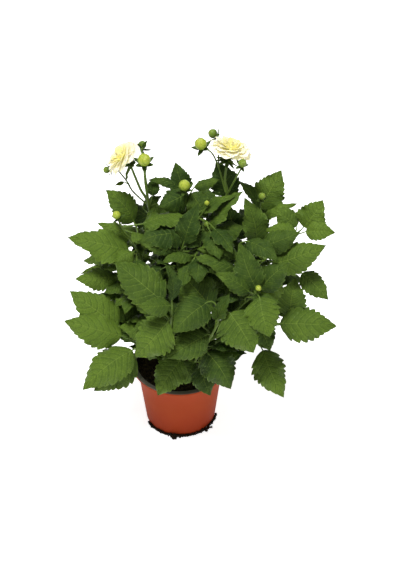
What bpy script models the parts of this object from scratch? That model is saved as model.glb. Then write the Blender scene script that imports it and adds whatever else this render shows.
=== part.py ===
"""A dahlia in bloom in its 13 cm grower's pot.

The pot stands on z = 0 with its axis on Z. X runs to the right of the plant's front, Y to its back.
Lengths in the constants and tables are in millimetres, and MM turns them into Blender's metres.
Headings turn about Z from +X, and a rise is the slope above level, both in degrees.
"""
import itertools
import math
import random
from collections import namedtuple

import bmesh
import bpy
from mathutils import Matrix, Vector, noise
from mathutils.bvhtree import BVHTree

MM = 0.001
GAP = 0.3

# Pot: thin, tapered, with a flat lip turned outwards
POT_HEIGHT = 96.0
LIP_RADIUS = 65.0
LIP_SKIRT = 3.0
MOUTH_RADIUS = 58.5
BASE_RADIUS = 48.0
WALL = 1.2
DRAIN_HOLES = 5
DRAIN_RADIUS = 5.0
DRAIN_RING = 30.0
POT_STEPS = 30

# Soil
SOIL_TOP = 87.0
SOIL_RELIEF = 2.2
SOIL_RINGS = 3
STEM_SUNK = 17.0
STEM_HOLE_CLEARANCE = 0.7

# Crumbs of peat that cling round the front of the foot
CRUMB_ARC = (206.0, 352.0)
CRUMB_COUNT = 26
CRUMB_CLEARANCE = 0.8
CRUMB_RADIUS = (1.2, 2.6)
CRUMB_LUMP = (261.0, 7.0, 2.6)  # heading and spread of the lump at the front, and its added radius

# Leaves
BLADE_THICKNESS = 0.7
TOOTH_OUT = 1.06
TOOTH_NOTCH = 0.86
ARCH = 0.09
FOLD = -0.12
STALK_HALF_WIDTH = 1.1
STALK_FOLD = -0.6
STEM_END_REACH = 9.0
CLEARANCE = 0.5

# Blooms and buds
PETAL_THICKNESS = 0.8
CORE_RADIUS = 9.0
BLOOM_SEAT = 7.0
BLOOM_STEM_SEAT = 9.5
BUD_STEM_SEAT = 1.25  # as a share of the bud's radius
PETAL_ROWS = (
    # count, reach, width, lift of the row above the outer one, slope
    (10, 28.5, 15.5, 0.0, 4.0),
    (8, 23.5, 14.0, 1.5, 24.0),
    (6, 16.5, 11.0, 3.0, 46.0),
)
PETAL_ROOT = 0.72
PETAL_OUTLINE = (0.28, 0.86, 1.0, 0.5)
PETAL_LEAN = 0.2

Leaf = namedtuple("Leaf", "x y z heading rise length width roll")
Stem = namedtuple("Stem", "points radius_low radius_top")
Bud = namedtuple("Bud", "name centre axis radius bracts colour")
Bloom = namedtuple("Bloom", "name centre axis bract")
Shoot = namedtuple("Shoot", "name stems buds blooms leaves")
Bend = namedtuple("Bend", "rise heading lift")

SHOOTS = (
    Shoot(
        "shoot_left_bloom",
        (
            Stem(((-12, 16), (-16, 20, 160), (-24, 28, 240), (-37, 38, 324), (-47.5, 41, 350),
                  (-57.5, 45, 378.5)), 3.2, 1.4),
            Stem(((-36, 37, 318), (-38.5, 34, 345), (-40, 27.5, 372), (-40, 23, 392)), 1.9, 1.6),
            Stem(((-37, 38, 322), (-40, 54, 350), (-44, 62, 374), (-45, 64, 386)), 1.2, 0.9),
            Stem(((-38, 39, 326), (-57, 49, 340), (-65, 54, 353), (-78, 62, 366)), 1.1, 0.9),
        ),
        (
            Bud("bud_left_large", (-39.8, 16.5, 408.2), (0.05, -0.5, 0.85), 7.8, 6, "yellow"),
            Bud("bud_left_turned", (-44.5, 72, 394.5), (0.1, 0.85, 0.25), 5.2, 5, "green"),
            Bud("bud_left_hidden", (-89.5, 58, 366.5), (-0.8, -0.3, -0.2), 4.3, 5, "green"),
        ),
        (Bloom("bloom_left", (-67, 45, 393), (-0.68, -0.06, 0.73), 7.0),),
        (
            Leaf(-33, 47, 331, 72, 52, 25, 17, 5),
            Leaf(-45, 43, 319, 18, 24, 29, 15, 25),
            Leaf(-26, 40, 328, 219, -48, 51, 15, -20),
            Leaf(-68, 50, 354, 195, -15, 12, 6, -20),
            Leaf(-65, 51, 357, 35, 66, 21, 11, -20),
        ),
    ),
    Shoot(
        "shoot_right_bloom",
        (
            Stem(((20, 16), (28, 20, 160), (42, 30, 250), (60, 41, 334), (58, 46, 360),
                  (60.5, 51, 382)), 3.2, 1.5),
            Stem(((60, 41, 338), (67, 35, 360), (74, 27, 382), (77, 22.5, 392.5)), 1.3, 1.0),
            Stem(((59, 42, 344), (51, 54, 370), (44, 59, 387), (38, 61.5, 393)), 1.2, 0.9),
            Stem(((51, 54, 370), (50, 69, 381), (50.5, 80, 392)), 1.0, 0.9),
        ),
        (
            Bud("bud_right_yellow", (28, 58, 404.5), (-0.2, -0.45, 0.85), 7.5, 5, "yellow"),
            Bud("bud_right_green", (43, 83, 404), (-0.6, 0.1, 0.45), 5.8, 5, "green"),
            Bud("bud_right_side", (78.2, 18, 402.2), (0.2, -0.5, 0.8), 5.2, 5, "green"),
        ),
        (Bloom("bloom_right", (64.5, 53, 399), (0.28, 0.12, 0.95), 13.0),),
        (
            Leaf(62, 50, 333, 138, 71, 47, 36, -35),
            Leaf(61, 50, 331, 65, 65, 38, 22, 10),
            Leaf(33, 15, 308, 25, 45, 68, 34, 0),
            Leaf(27, 20, 329, 20, 30, 50, 22, 5),
            Leaf(75, 30, 287, 145, 50, 40, 31, -35),
        ),
    ),
    Shoot(
        "shoot_centre_bud",
        (
            Stem(((4, 22), (6, 28, 180), (9, 36, 270), (11, 41, 335), (9, 38, 346)), 3.0, 1.2),
            Stem(((9, 36, 290), (22, 18, 316), (32, 13, 336)), 1.0, 0.8),
        ),
        (
            Bud("bud_centre", (8, 32, 361), (-0.1, -0.3, 0.95), 7.0, 5, "yellow"),
            Bud("bud_centre_small", (35.5, 14, 347), (0, -0.2, 1), 3.1, 4, "yellow"),
        ),
        (),
        (
            Leaf(8, 55, 335, 127, 61, 40, 27, -25),
            Leaf(2, 50, 345, 180, 18, 42, 15, -20),
            Leaf(20, 50, 346, 10, 25, 35, 16, 35),
            Leaf(12, 40, 344, 215, -5, 44, 32, -40),
            Leaf(16, 40, 344, 320, -28, 36, 30, 35),
        ),
    ),
    Shoot(
        "shoot_left_bud",
        (Stem(((-26, 2), (-32, 2, 160), (-43, 1, 250), (-55, 4, 291), (-65, 5, 308),
               (-72, 5, 322)), 3.0, 1.1),),
        (Bud("bud_left_low", (-75.5, 4, 336), (-0.3, -0.3, 0.9), 5.2, 5, "yellow"),),
        (),
        (
            Leaf(-56, 26, 310, 172, 54, 56, 36, -40),
            Leaf(-62, 0, 284, 189, 23, 80, 45, -30),
            Leaf(-62, 15, 290, 170, 35, 45, 26, -20),
            Leaf(-56, -15, 293, 200, -20, 30, 20, -30),
            Leaf(-79, -10, 250, 190, 5, 52, 30, -40),
            Leaf(-87, 25, 240, 200, 0, 42, 15, -15),
        ),
    ),
    Shoot(
        "shoot_right_bud",
        (
            Stem(((32, 4), (46, 10, 160), (72, 22, 232), (98, 36, 300), (102.5, 33, 333)), 3.2, 1.0),
            Stem(((56, 14, 190), (98, 8, 250), (130, 8, 285), (153, 12, 307)), 1.8, 1.1),
        ),
        (Bud("bud_right_high", (104, 30, 346), (0.1, -0.3, 0.95), 4.6, 5, "green"),),
        (),
        (
            Leaf(104, 53, 311, 38, 54, 56, 42, 35),
            Leaf(102, 45, 311, 160, 55, 53, 24, 0),
            Leaf(107, 40, 307, 5, 25, 47, 17, 15),
            Leaf(99, 10, 290, 140, 70, 62, 34, -30),
            Leaf(157, 19, 307, 24, 60, 42, 38, 40),
            Leaf(159, 9, 307, 350, 5, 37, 25, 45),
            Leaf(149, 21, 307, 150, 30, 36, 28, -40),
            Leaf(148, 8, 305, 175, 5, 41, 24, -40),
            Leaf(117, -15, 274, 0, 25, 72, 40, 45),
            Leaf(156, -10, 256, 330, -35, 48, 29, 35),
        ),
    ),
    Shoot(
        "shoot_front_right",
        (
            Stem(((26, -14), (40, -26, 150), (64, -42, 210), (94, -56, 260), (97, -61, 268)), 3.0, 1.1),
            Stem(((42, -28, 154), (80, -44, 182), (110, -50, 197), (127, -49, 206)), 1.8, 1.1),
        ),
        (Bud("bud_front_right", (98, -66, 277), (0, -0.5, 0.85), 3.7, 5, "yellow"),),
        (),
        (
            Leaf(104, -10, 299, 5, 22, 50, 30, 45),
            Leaf(84, -15, 310, 335, -5, 50, 26, 20),
            Leaf(96, -55, 268, 130, 65, 60, 34, -35),
            Leaf(101, -55, 265, 15, 45, 50, 34, 45),
            Leaf(90, -65, 270, 345, 0, 36, 18, 5),
            Leaf(88, -60, 266, 180, 35, 52, 24, -45),
            Leaf(72, -20, 297, 185, 15, 51, 25, -40),
            Leaf(72, -40, 286, 185, 25, 58, 23, -20),
            Leaf(99, -75, 266, 291, -45, 50, 43, 15),
            Leaf(141, -38, 220, 75, 58, 50, 39, 15),
            Leaf(128, -50, 207, 350, 5, 72, 44, 45),
            Leaf(107, -62, 172, 302, -40, 66, 42, 20),
            Leaf(100, -50, 204, 305, -40, 36, 32, 30),
        ),
    ),
    Shoot(
        "shoot_centre_tip",
        (
            Stem(((0, -4), (2, -8, 180), (0, -16, 260), (-1, -20, 296)), 3.0, 1.4),
            Stem(((1, -13, 240), (22, -6, 280), (34, 3, 314)), 1.0, 0.8),
        ),
        (Bud("bud_centre_closed", (35, 2, 323), (0, -0.3, 0.9), 3.2, 4, "green"),),
        (),
        (
            Leaf(-5, -20, 300, 175, 15, 47, 21, -25),
            Leaf(17, -25, 295, 210, 10, 42, 20, -10),
            Leaf(10, -15, 303, 15, 25, 36, 18, 10),
            Leaf(7, -15, 307, 40, 65, 54, 30, 30),
            Leaf(-1, -25, 307, 145, 70, 25, 13, -20),
            Leaf(3, -5, 295, 140, 35, 42, 34, -35),
        ),
    ),
    Shoot(
        "shoot_front_left",
        (
            Stem(((-8, -26), (-10, -46, 150), (-9, -68, 215), (-7, -80, 256)), 3.0, 1.3),
            Stem(((-9, -40, 132), (-34, -52, 160), (-62, -55, 182)), 1.8, 1.1),
        ),
        (),
        (),
        (
            Leaf(-77, -40, 195, 165, 35, 76, 46, -40),
            Leaf(-72, -55, 190, 180, 20, 76, 44, -40),
            Leaf(-58, -75, 184, 215, -20, 80, 46, -30),
            Leaf(-56, -60, 157, 215, -20, 68, 44, -30),
            Leaf(-18, -70, 259, 145, 22, 80, 48, -35),
            Leaf(-12, -90, 244, 200, -45, 63, 48, -45),
            Leaf(-8, -85, 266, 200, 15, 42, 24, -40),
            Leaf(-7, -85, 266, 115, 75, 47, 22, 20),
            Leaf(-17, -60, 218, 200, 5, 40, 30, -40),
        ),
    ),
    Shoot(
        "shoot_front_tip",
        (Stem(((12, -26), (22, -42, 140), (38, -64, 190), (49, -80, 233)), 3.0, 1.3),),
        (),
        (),
        (
            Leaf(42, -60, 241, 150, 40, 64, 48, -40),
            Leaf(37, -70, 259, 215, -25, 58, 42, -40),
            Leaf(37, -75, 211, 210, -12, 62, 38, -40),
            Leaf(3, -70, 163, 220, -45, 56, 40, -35),
            Leaf(36, -70, 176, 315, -40, 56, 46, 30),
            Leaf(27, -65, 147, 305, -55, 42, 30, 20),
            Leaf(19, -55, 145, 225, -60, 34, 28, -30),
            Leaf(63, -85, 254, 314, -42, 57, 54, 30),
            Leaf(50, -85, 244, 25, 70, 38, 18, 20),
            Leaf(48, -88, 247, 190, 65, 28, 12, -40),
        ),
    ),
)


def heading_vector(heading, rise):
    """The unit vector that points along a heading and a rise in degrees."""
    h, r = math.radians(heading), math.radians(rise)
    return Vector((math.cos(r) * math.cos(h), math.cos(r) * math.sin(h), math.sin(r)))


def leaf_frame(leaf, bend):
    """Base point, and the unit vectors along the blade, across it and out of its upper face."""
    along = heading_vector(leaf.heading + bend.heading, leaf.rise + bend.rise)
    level = heading_vector(leaf.heading + bend.heading + 90, 0)
    turn = Matrix.Rotation(math.radians(leaf.roll), 3, along)
    across = turn @ level
    base = Vector((leaf.x, leaf.y, leaf.z)) + Vector((0, 0, bend.lift))
    return base, along, across, along.cross(across)


def outline(a):
    """Half width of a leaf at the share a of its length, as a share of its widest half."""
    return 3.08 * a**0.62 * (1 - a)**1.1


def blade_point(leaf, frame, a, b, scale=1.0):
    """A point of the blade: a runs from base to tip, and b from -1 at one edge to 1 at the other."""
    base, along, across, up = frame
    half = max(0.5 * leaf.width * outline(a) * scale, stalk_half_width(leaf) * (1 - a) ** 4)
    height = leaf.length * ARCH * 4 * a * (1 - a) + FOLD * abs(b) * half
    return base + along * leaf.length * a + across * half * b + up * height


def teeth_of(leaf):
    """Teeth on each side: fewer on a small leaf."""
    return 3 if leaf.length > 60 else 2 if leaf.length > 25 else 1


def blade_point_at(leaf, frame, station, segments, side):
    """The blade's point at a station. Odd ones are the points of teeth, and even ones are notches."""
    a = station / segments
    if side == 0 or station in (0, segments):
        return blade_point(leaf, frame, a, side)
    if station % 2:
        return blade_point(leaf, frame, a + 0.3 / segments, side, TOOTH_OUT)
    return blade_point(leaf, frame, a - 0.05 / segments, side, TOOTH_NOTCH)


def stalk_frames(stalk, frame):
    """Each point of the stalk with its across and up directions, which follow the blade's without a twist."""
    base, along, across, up = frame
    found = []
    ahead, ahead_point = along, base
    across, up = across.copy(), up.copy()
    for point in reversed(stalk):
        direction = (ahead_point - point).normalized()
        turn = ahead.rotation_difference(direction)
        across.rotate(turn)
        up.rotate(turn)
        found.append((point, across.copy(), up.copy()))
        ahead, ahead_point = direction, point
    return found[::-1]


def leaf_bmesh(leaf, bend, stalk, thickness):
    """The toothed blade and its grooved stalk as one closed solid, with like triangles on both faces."""
    frame = leaf_frame(leaf, bend)
    segments = 2 * teeth_of(leaf) + 1
    rows = stalk_frames(stalk, frame)
    half = stalk_half_width(leaf)
    bm = bmesh.new()
    bmesh.ops.create_grid(bm, x_segments=len(rows) + segments, y_segments=2, size=1.0)
    for vert in bm.verts:
        row = round((vert.co.x + 1) / 2 * (len(rows) + segments))
        side = round(vert.co.y)
        if row < len(rows):
            point, across, up = rows[row]
            place = point + across * half * side + up * STALK_FOLD * half * abs(side)
        else:
            place = blade_point_at(leaf, frame, row - len(rows), segments, side)
        vert.co = place * MM
    bmesh.ops.remove_doubles(bm, verts=bm.verts, dist=0.01 * MM)
    bmesh.ops.triangulate(bm, faces=bm.faces)
    bmesh.ops.solidify(bm, geom=bm.faces, thickness=thickness * MM)
    bmesh.ops.recalc_face_normals(bm, faces=bm.faces)
    return bm


def seats(shoot):
    """Where each bud and bloom of a shoot takes its stem: a point inside its cup."""
    found = []
    for bud in shoot.buds:
        axis = Vector(bud.axis).normalized()
        found.append(Vector(bud.centre) - axis * bud.radius * BUD_STEM_SEAT)
    for bloom in shoot.blooms:
        found.append(Vector(bloom.centre) - Vector(bloom.axis).normalized() * BLOOM_STEM_SEAT)
    return found


def stem_path(stem, shoot):
    """The stem's centre line, smooth through its points and on into the bud or bloom that it carries.

    A first point with no height stands in the soil.
    """
    points = list(stem.points)
    if len(points[0]) == 2:
        x, y = points[0]
        points[0:1] = [(x, y, SOIL_TOP - STEM_SUNK), (x, y, SOIL_TOP + 12)]
    points = [Vector(point) for point in points]
    points += [seat for seat in seats(shoot) if (seat - points[-1]).length < STEM_END_REACH]
    path = [points[0]]
    for i in range(len(points) - 1):
        before = points[max(i - 1, 0)]
        after = points[min(i + 2, len(points) - 1)]
        start, end = points[i], points[i + 1]
        steps = 2 if (end - start).length > 60 else 1
        for k in range(1, steps + 1):
            t = k / steps
            path.append(0.5 * (2 * start + (end - before) * t
                               + (2 * before - 5 * start + 4 * end - after) * t**2
                               + (3 * start - before - 3 * end + after) * t**3))
    return path


def tapered(stem, count):
    """Radii along a stem's path."""
    return [stem.radius_low + (stem.radius_top - stem.radius_low) * i / (count - 1) for i in range(count)]


def stalk_points(leaf, bend, paths):
    """The leaf stalk's points, from the nearest fitting place on the shoot's stems up to the blade."""
    base, along, _, _ = leaf_frame(leaf, bend)
    behind = base - along * (8 + 0.35 * leaf.length)
    places = []
    for path in paths:
        for start, end in zip(path, path[1:]):
            places += [start.lerp(end, k / 3) for k in range(3)]
        places.append(path[-1])
    places = [place for place in places if place.z > SOIL_TOP + 4]
    root = min(places, key=lambda place: (place - behind).length + max(0, place.z - base.z + 5))
    reach = (base - root).length
    elbow = base - along * reach * 0.45
    return [root, root.lerp(elbow, 0.85)] if reach > 18 else [root]


def stalk_half_width(leaf):
    """A stalk is thinner on a small leaf."""
    return STALK_HALF_WIDTH * (1.0 if leaf.length > 45 else 0.8 if leaf.length > 30 else 0.6)


def far_side_leaves():
    """Leaves of the far side and of the inside of the bush, which fill it out by rule."""
    rng = random.Random(13)
    rows = (
        # blade base height, reach from the bush's middle, count, first and last heading, rise, length
        (150, 54, 4, 25, 155, -30, 72),
        (198, 68, 5, -5, 185, -15, 78),
        (248, 72, 5, 5, 175, -5, 76),
        (288, 62, 3, 35, 145, 15, 66),
    )
    found = []
    for z, reach, count, first, last, rise, length in rows:
        for i in range(count):
            heading = first + (last - first) * i / (count - 1) + rng.uniform(-8, 8)
            away = heading_vector(heading, 0) * (reach + rng.uniform(-6, 6))
            size = length * rng.uniform(0.88, 1.12)
            found.append(Leaf(25 + away.x, 12 + away.y, z + rng.uniform(-10, 10), heading,
                              rise + rng.uniform(-8, 8), size, size * 0.6, rng.uniform(-12, 12)))
    return found


def bends():
    """Every bend a leaf may take, the smallest first."""
    steps = itertools.product(range(-30, 31, 6), range(-24, 25, 8), range(-12, 13, 4))
    return sorted((Bend(*step) for step in steps),
                  key=lambda bend: abs(bend.rise) / 6 + abs(bend.heading) / 8 + abs(bend.lift) / 4)


def add_rod(bm, start, end, radius):
    """A plain rod between two points, which stands for a stem where clearance is measured."""
    along = end - start
    place = Matrix.Translation((start + end) / 2 * MM) @ along.to_track_quat("Z", "Y").to_matrix().to_4x4()
    bmesh.ops.create_cone(bm, cap_ends=True, segments=6, radius1=radius * MM, radius2=radius * MM,
                          depth=along.length * MM, matrix=place)


class Room:
    """The space that is already taken, as one tree of faces for each piece of each node."""

    def __init__(self):
        self.taken = []

    def add(self, node, kind, bm):
        corners = [vert.co for vert in bm.verts]
        middle = sum(corners, Vector()) / len(corners)
        radius = max((corner - middle).length for corner in corners)
        self.taken.append((node, kind, middle, radius, BVHTree.FromBMesh(bm)))

    def near(self, middle, radius):
        return [piece for piece in self.taken if (piece[2] - middle).length < piece[3] + radius]


def clear_of(tree, pieces):
    return not any(tree.overlap(piece[4]) for piece in pieces)


def stalk_rods(leaf, bend, paths, clearance):
    """Rods that stand for a leaf's stalk where clearance is measured."""
    bm = bmesh.new()
    points = stalk_points(leaf, bend, paths) + [leaf_frame(leaf, bend)[0]]
    for start, end in zip(points, points[1:]):
        add_rod(bm, start, end, stalk_half_width(leaf) + clearance)
    return bm


def tree_of(bm):
    """The tree of a bmesh's faces, which takes the bmesh's place."""
    tree = BVHTree.FromBMesh(bm)
    bm.free()
    return tree


def bend_clear(leaf, shoot, paths, room):
    """The smallest bend that takes a leaf and its stalk clear of what already grows, or None.

    Other shoots are never touched. The shoot's own leaves are kept clear where a bend allows it.
    """
    near = room.near(Vector((leaf.x, leaf.y, leaf.z)) * MM, (leaf.length + 75) * MM)
    others = [piece for piece in near if piece[0] != shoot.name]
    own = [piece for piece in near if piece[0] == shoot.name]
    own_stalks = [piece for piece in own if piece[1] == "stalk"]
    own_blades = [piece for piece in own if piece[1] == "blade"]
    own_rest = [piece for piece in own if piece[1] != "stalk"]
    touching = {}
    for bend in bends():
        blade = tree_of(leaf_bmesh(leaf, bend, [], BLADE_THICKNESS + 2 * CLEARANCE))
        if not clear_of(blade, others):
            continue
        stalk = tree_of(stalk_rods(leaf, bend, paths, CLEARANCE))
        if not clear_of(stalk, others):
            continue
        if not clear_of(blade, own_rest):
            touching.setdefault("blade", bend)
        elif not (clear_of(blade, own_stalks) and clear_of(stalk, own_blades)):
            touching.setdefault("stalk", bend)
        else:
            return bend
    return touching.get("stalk", touching.get("blade"))


def material(name, colour, roughness, metallic=0.0):
    """A Principled material in the piece's own colour."""
    made = bpy.data.materials.new(name)
    made.use_nodes = True
    made.diffuse_color = (*colour, 1)
    shader = made.node_tree.nodes["Principled BSDF"]
    shader.inputs["Base Color"].default_value = (*colour, 1)
    shader.inputs["Roughness"].default_value = roughness
    shader.inputs["Metallic"].default_value = metallic
    return made


def mesh_object(name, bm, collection):
    """A bmesh as a new object."""
    mesh = bpy.data.meshes.new(name)
    bm.to_mesh(mesh)
    bm.free()
    made = bpy.data.objects.new(name, mesh)
    collection.objects.link(made)
    return made


def finish(made, look, collection):
    """Gives a node its material and smooth shading, and files it in the part's collection."""
    made.data.materials.clear()
    made.data.materials.append(look)
    made.data.shade_smooth()
    made.data.set_sharp_from_angle(angle=math.radians(35))
    if made.name not in collection.objects:
        collection.objects.link(made)
    return made


def baked(made):
    """Replaces an object's mesh by its evaluated one, and drops its modifiers."""
    graph = bpy.context.evaluated_depsgraph_get()
    mesh = bpy.data.meshes.new_from_object(made.evaluated_get(graph))
    made.modifiers.clear()
    made.data = mesh
    return made


def tube(name, path, radii, resolution, collection):
    """A round stem through a path, made from a curve, with its caps welded on."""
    curve = bpy.data.curves.new(name, "CURVE")
    curve.dimensions = "3D"
    curve.bevel_depth = MM
    curve.bevel_resolution = resolution
    curve.use_fill_caps = True
    spline = curve.splines.new("POLY")
    spline.points.add(len(path) - 1)
    for point, place, radius in zip(spline.points, path, radii):
        point.co = (*(place * MM), 1)
        point.radius = radius
    guide = bpy.data.objects.new(name, curve)
    collection.objects.link(guide)
    graph = bpy.context.evaluated_depsgraph_get()
    mesh = bpy.data.meshes.new_from_object(guide.evaluated_get(graph))
    bpy.data.objects.remove(guide)
    bpy.data.curves.remove(curve)
    bm = bmesh.new()
    bm.from_mesh(mesh)
    bpy.data.meshes.remove(mesh)
    bmesh.ops.remove_doubles(bm, verts=bm.verts, dist=0.01 * MM)
    bmesh.ops.recalc_face_normals(bm, faces=bm.faces)
    return mesh_object(name, bm, collection)


def fuse(name, pieces, operands):
    """Joins the pieces into one body with one union on their collection, and removes the rest of them."""
    made = pieces[0]
    made.name = name
    operands.objects.unlink(made)
    bpy.context.scene.collection.objects.link(made)
    union = made.modifiers.new("union", "BOOLEAN")
    union.operation = "UNION"
    union.operand_type = "COLLECTION"
    union.collection = operands
    union.solver = "MANIFOLD"
    baked(made)
    for piece in list(operands.objects):
        bpy.data.objects.remove(piece)
    bpy.context.scene.collection.objects.unlink(made)
    return made


def turned(name, profile, steps):
    """A profile of (radius, height) points turned about Z."""
    mesh = bpy.data.meshes.new(name)
    mesh.from_pydata([(radius * MM, 0, height * MM) for radius, height in profile],
                     [(i, i + 1) for i in range(len(profile) - 1)], [])
    made = bpy.data.objects.new(name, mesh)
    bpy.context.scene.collection.objects.link(made)
    screw = made.modifiers.new("turn", "SCREW")
    screw.steps = steps
    screw.render_steps = steps
    screw.use_merge_vertices = True
    screw.merge_threshold = 0.01 * MM
    baked(made)
    bpy.context.scene.collection.objects.unlink(made)
    return made


def cylinder_cutter(name, x, y, low, high, radius, sides, collection):
    """A cutter that stands upright at a place."""
    place = Matrix.Translation(Vector((x, y, (low + high) / 2)) * MM)
    bm = bmesh.new()
    bmesh.ops.create_cone(bm, cap_ends=True, segments=sides, radius1=radius * MM, radius2=radius * MM,
                          depth=(high - low) * MM, matrix=place)
    made = mesh_object(name, bm, collection)
    made.hide_render = True
    made.display_type = "WIRE"
    return made


def cut(made, cutters):
    """Takes the objects of a collection away from a node."""
    difference = made.modifiers.new("cut", "BOOLEAN")
    difference.operation = "DIFFERENCE"
    difference.operand_type = "COLLECTION"
    difference.collection = cutters
    difference.solver = "EXACT"


def wall_radius(height):
    """Outer radius of the pot's wall at a height."""
    return BASE_RADIUS + (MOUTH_RADIUS - BASE_RADIUS) * height / POT_HEIGHT


def make_pot(parts, cutters):
    """The pot: floor, tapered wall, and a lip that turns out and down, with drain holes in the floor."""
    inner = WALL
    profile = (
        (0, WALL),
        (BASE_RADIUS - 1.5 * WALL, WALL),
        (wall_radius(2 * WALL) - inner, 2 * WALL),
        (MOUTH_RADIUS - inner, POT_HEIGHT - 0.8),
        (MOUTH_RADIUS - inner + 0.8, POT_HEIGHT),
        (LIP_RADIUS, POT_HEIGHT),
        (LIP_RADIUS, POT_HEIGHT - LIP_SKIRT),
        (LIP_RADIUS - WALL, POT_HEIGHT - LIP_SKIRT),
        (LIP_RADIUS - WALL, POT_HEIGHT - WALL),
        (wall_radius(POT_HEIGHT - WALL), POT_HEIGHT - WALL),
        (wall_radius(1.5), 1.5),
        (BASE_RADIUS - 1.0, 0),
        (0, 0),
    )
    made = turned("pot", profile, POT_STEPS)
    for i in range(DRAIN_HOLES):
        away = heading_vector(360 * i / DRAIN_HOLES + 18, 0) * DRAIN_RING
        cylinder_cutter(f"drain_{i}", away.x, away.y, -2, 4, DRAIN_RADIUS, 10, cutters)
    cut(made, cutters)
    finish(made, material("terracotta_plastic", (0.38, 0.075, 0.03), 0.45), parts)


def make_soil(parts, cutters):
    """The potting soil, rough on top, with a plain hole for each stem that stands in it."""
    rim = wall_radius(SOIL_TOP) - WALL - GAP
    foot = wall_radius(2 * WALL) - WALL - GAP
    profile = [(rim * i / SOIL_RINGS, SOIL_TOP) for i in range(SOIL_RINGS + 1)]
    profile += [(foot, 2 * WALL + GAP), (foot - WALL, WALL + GAP), (0, WALL + GAP)]
    made = turned("soil", profile, POT_STEPS)
    for vert in made.data.vertices:
        inside = 1 - (vert.co.xy.length / (rim * MM)) ** 4
        if vert.co.z > (SOIL_TOP - 1) * MM and inside > 0.01:
            vert.co.z += SOIL_RELIEF * MM * inside * noise.noise(vert.co * 110)
    bm = bmesh.new()
    bm.from_mesh(made.data)
    bmesh.ops.triangulate(bm, faces=bm.faces)
    bm.to_mesh(made.data)
    bm.free()
    for shoot in SHOOTS:
        stem = shoot.stems[0]
        x, y = stem.points[0]
        cylinder_cutter(f"hole_{shoot.name}", x, y, SOIL_TOP - STEM_SUNK - GAP, SOIL_TOP + 9,
                        stem.radius_low + STEM_HOLE_CLEARANCE, 6, cutters)
    cut(made, cutters)
    finish(made, material("peat", (0.012, 0.009, 0.007), 0.95), parts)


def make_crumbs(parts):
    """Crumbs of peat as one lumpy band round the front of the foot, flat where it lies on the ground."""
    rng = random.Random(5)
    first, last = CRUMB_ARC
    front, spread, lump = CRUMB_LUMP
    middles = []
    radii = []
    for i in range(CRUMB_COUNT):
        heading = first + (last - first) * i / (CRUMB_COUNT - 1)
        radius = rng.uniform(*CRUMB_RADIUS) if 0 < i < CRUMB_COUNT - 1 else CRUMB_RADIUS[0]
        radius += lump * math.exp(-((heading - front) / spread) ** 2)
        reach = BASE_RADIUS + CRUMB_CLEARANCE + radius * rng.uniform(0.8, 1.2)
        middles.append(heading_vector(heading, 0) * reach + Vector((0, 0, radius * 0.7)))
        radii.append(radius)
    made = tube("peat_crumbs", middles, radii, 1, parts)
    for vert in made.data.vertices:
        vert.co.z = max(vert.co.z, GAP * MM)
        nearest = (wall_radius(vert.co.z / MM) + CRUMB_CLEARANCE) * MM
        if vert.co.xy.length < nearest:
            vert.co.xy = vert.co.xy.normalized() * nearest
    finish(made, material("peat_crumb", (0.02, 0.013, 0.009), 0.95), parts)


def turn_to(axis):
    """The rotation that takes +Z to an axis."""
    return Vector(axis).to_track_quat("Z", "Y").to_matrix().to_4x4()


def bract_bmesh(base, axis, around, slope, length, width):
    """One narrow green bract, which leaves a receptacle at a slope from its axis."""
    bm = bmesh.new()
    bmesh.ops.create_cone(bm, cap_ends=True, segments=4, radius1=width / 2 * MM, radius2=0,
                          depth=length * MM, matrix=Matrix.Translation((0, 0, length / 2 * MM)))
    bmesh.ops.scale(bm, vec=(1, 0.4, 1), verts=bm.verts)
    place = (Matrix.Translation(base * MM) @ turn_to(axis) @ Matrix.Rotation(around, 4, "Z")
             @ Matrix.Rotation(math.radians(slope), 4, "X"))
    bm.transform(place)
    return bm


def receptacle_bmesh(base, axis, low, high, depth):
    """The green cup that a bud or bloom sits on, widening along its axis."""
    bm = bmesh.new()
    bmesh.ops.create_cone(bm, cap_ends=True, segments=6, radius1=low * MM, radius2=high * MM,
                          depth=depth * MM, matrix=Matrix.Translation((0, 0, depth / 2 * MM)))
    bm.transform(Matrix.Translation(base * MM) @ turn_to(axis))
    return bm


def bud_parts(bud):
    """The cup and bracts under a bud, as bmeshes."""
    axis = Vector(bud.axis).normalized()
    seat = Vector(bud.centre) - axis * (bud.radius * 0.93 + GAP)
    depth = bud.radius * 0.45
    made = [receptacle_bmesh(seat - axis * depth, axis, bud.radius * 0.3, bud.radius * 0.55, depth)]
    for i in range(bud.bracts):
        around = math.tau * i / bud.bracts
        made.append(bract_bmesh(seat - axis * depth * 0.6, axis, around, 62 if i % 2 else 78,
                                bud.radius * 1.35, bud.radius * 0.62))
    return made


def bud_ball(bud):
    """The round bud itself."""
    bm = bmesh.new()
    bmesh.ops.create_uvsphere(bm, u_segments=8, v_segments=5, radius=bud.radius * MM)
    bmesh.ops.scale(bm, vec=(1, 1, 0.93), verts=bm.verts)
    bm.transform(Matrix.Translation(Vector(bud.centre) * MM) @ turn_to(bud.axis))
    return bm


def calyx_parts(bloom):
    """The cup and green bracts behind a bloom, as bmeshes."""
    axis = Vector(bloom.axis).normalized()
    seat = Vector(bloom.centre) - axis * (BLOOM_SEAT + GAP)
    made = [receptacle_bmesh(seat - axis * 3.5, axis, 2.2, 5.5, 3.5)]
    for i in range(8):
        made.append(bract_bmesh(seat - axis * 2.4, axis, math.tau * i / 8, 84 if i % 2 else 100,
                                bloom.bract, 6))
    return made


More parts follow.
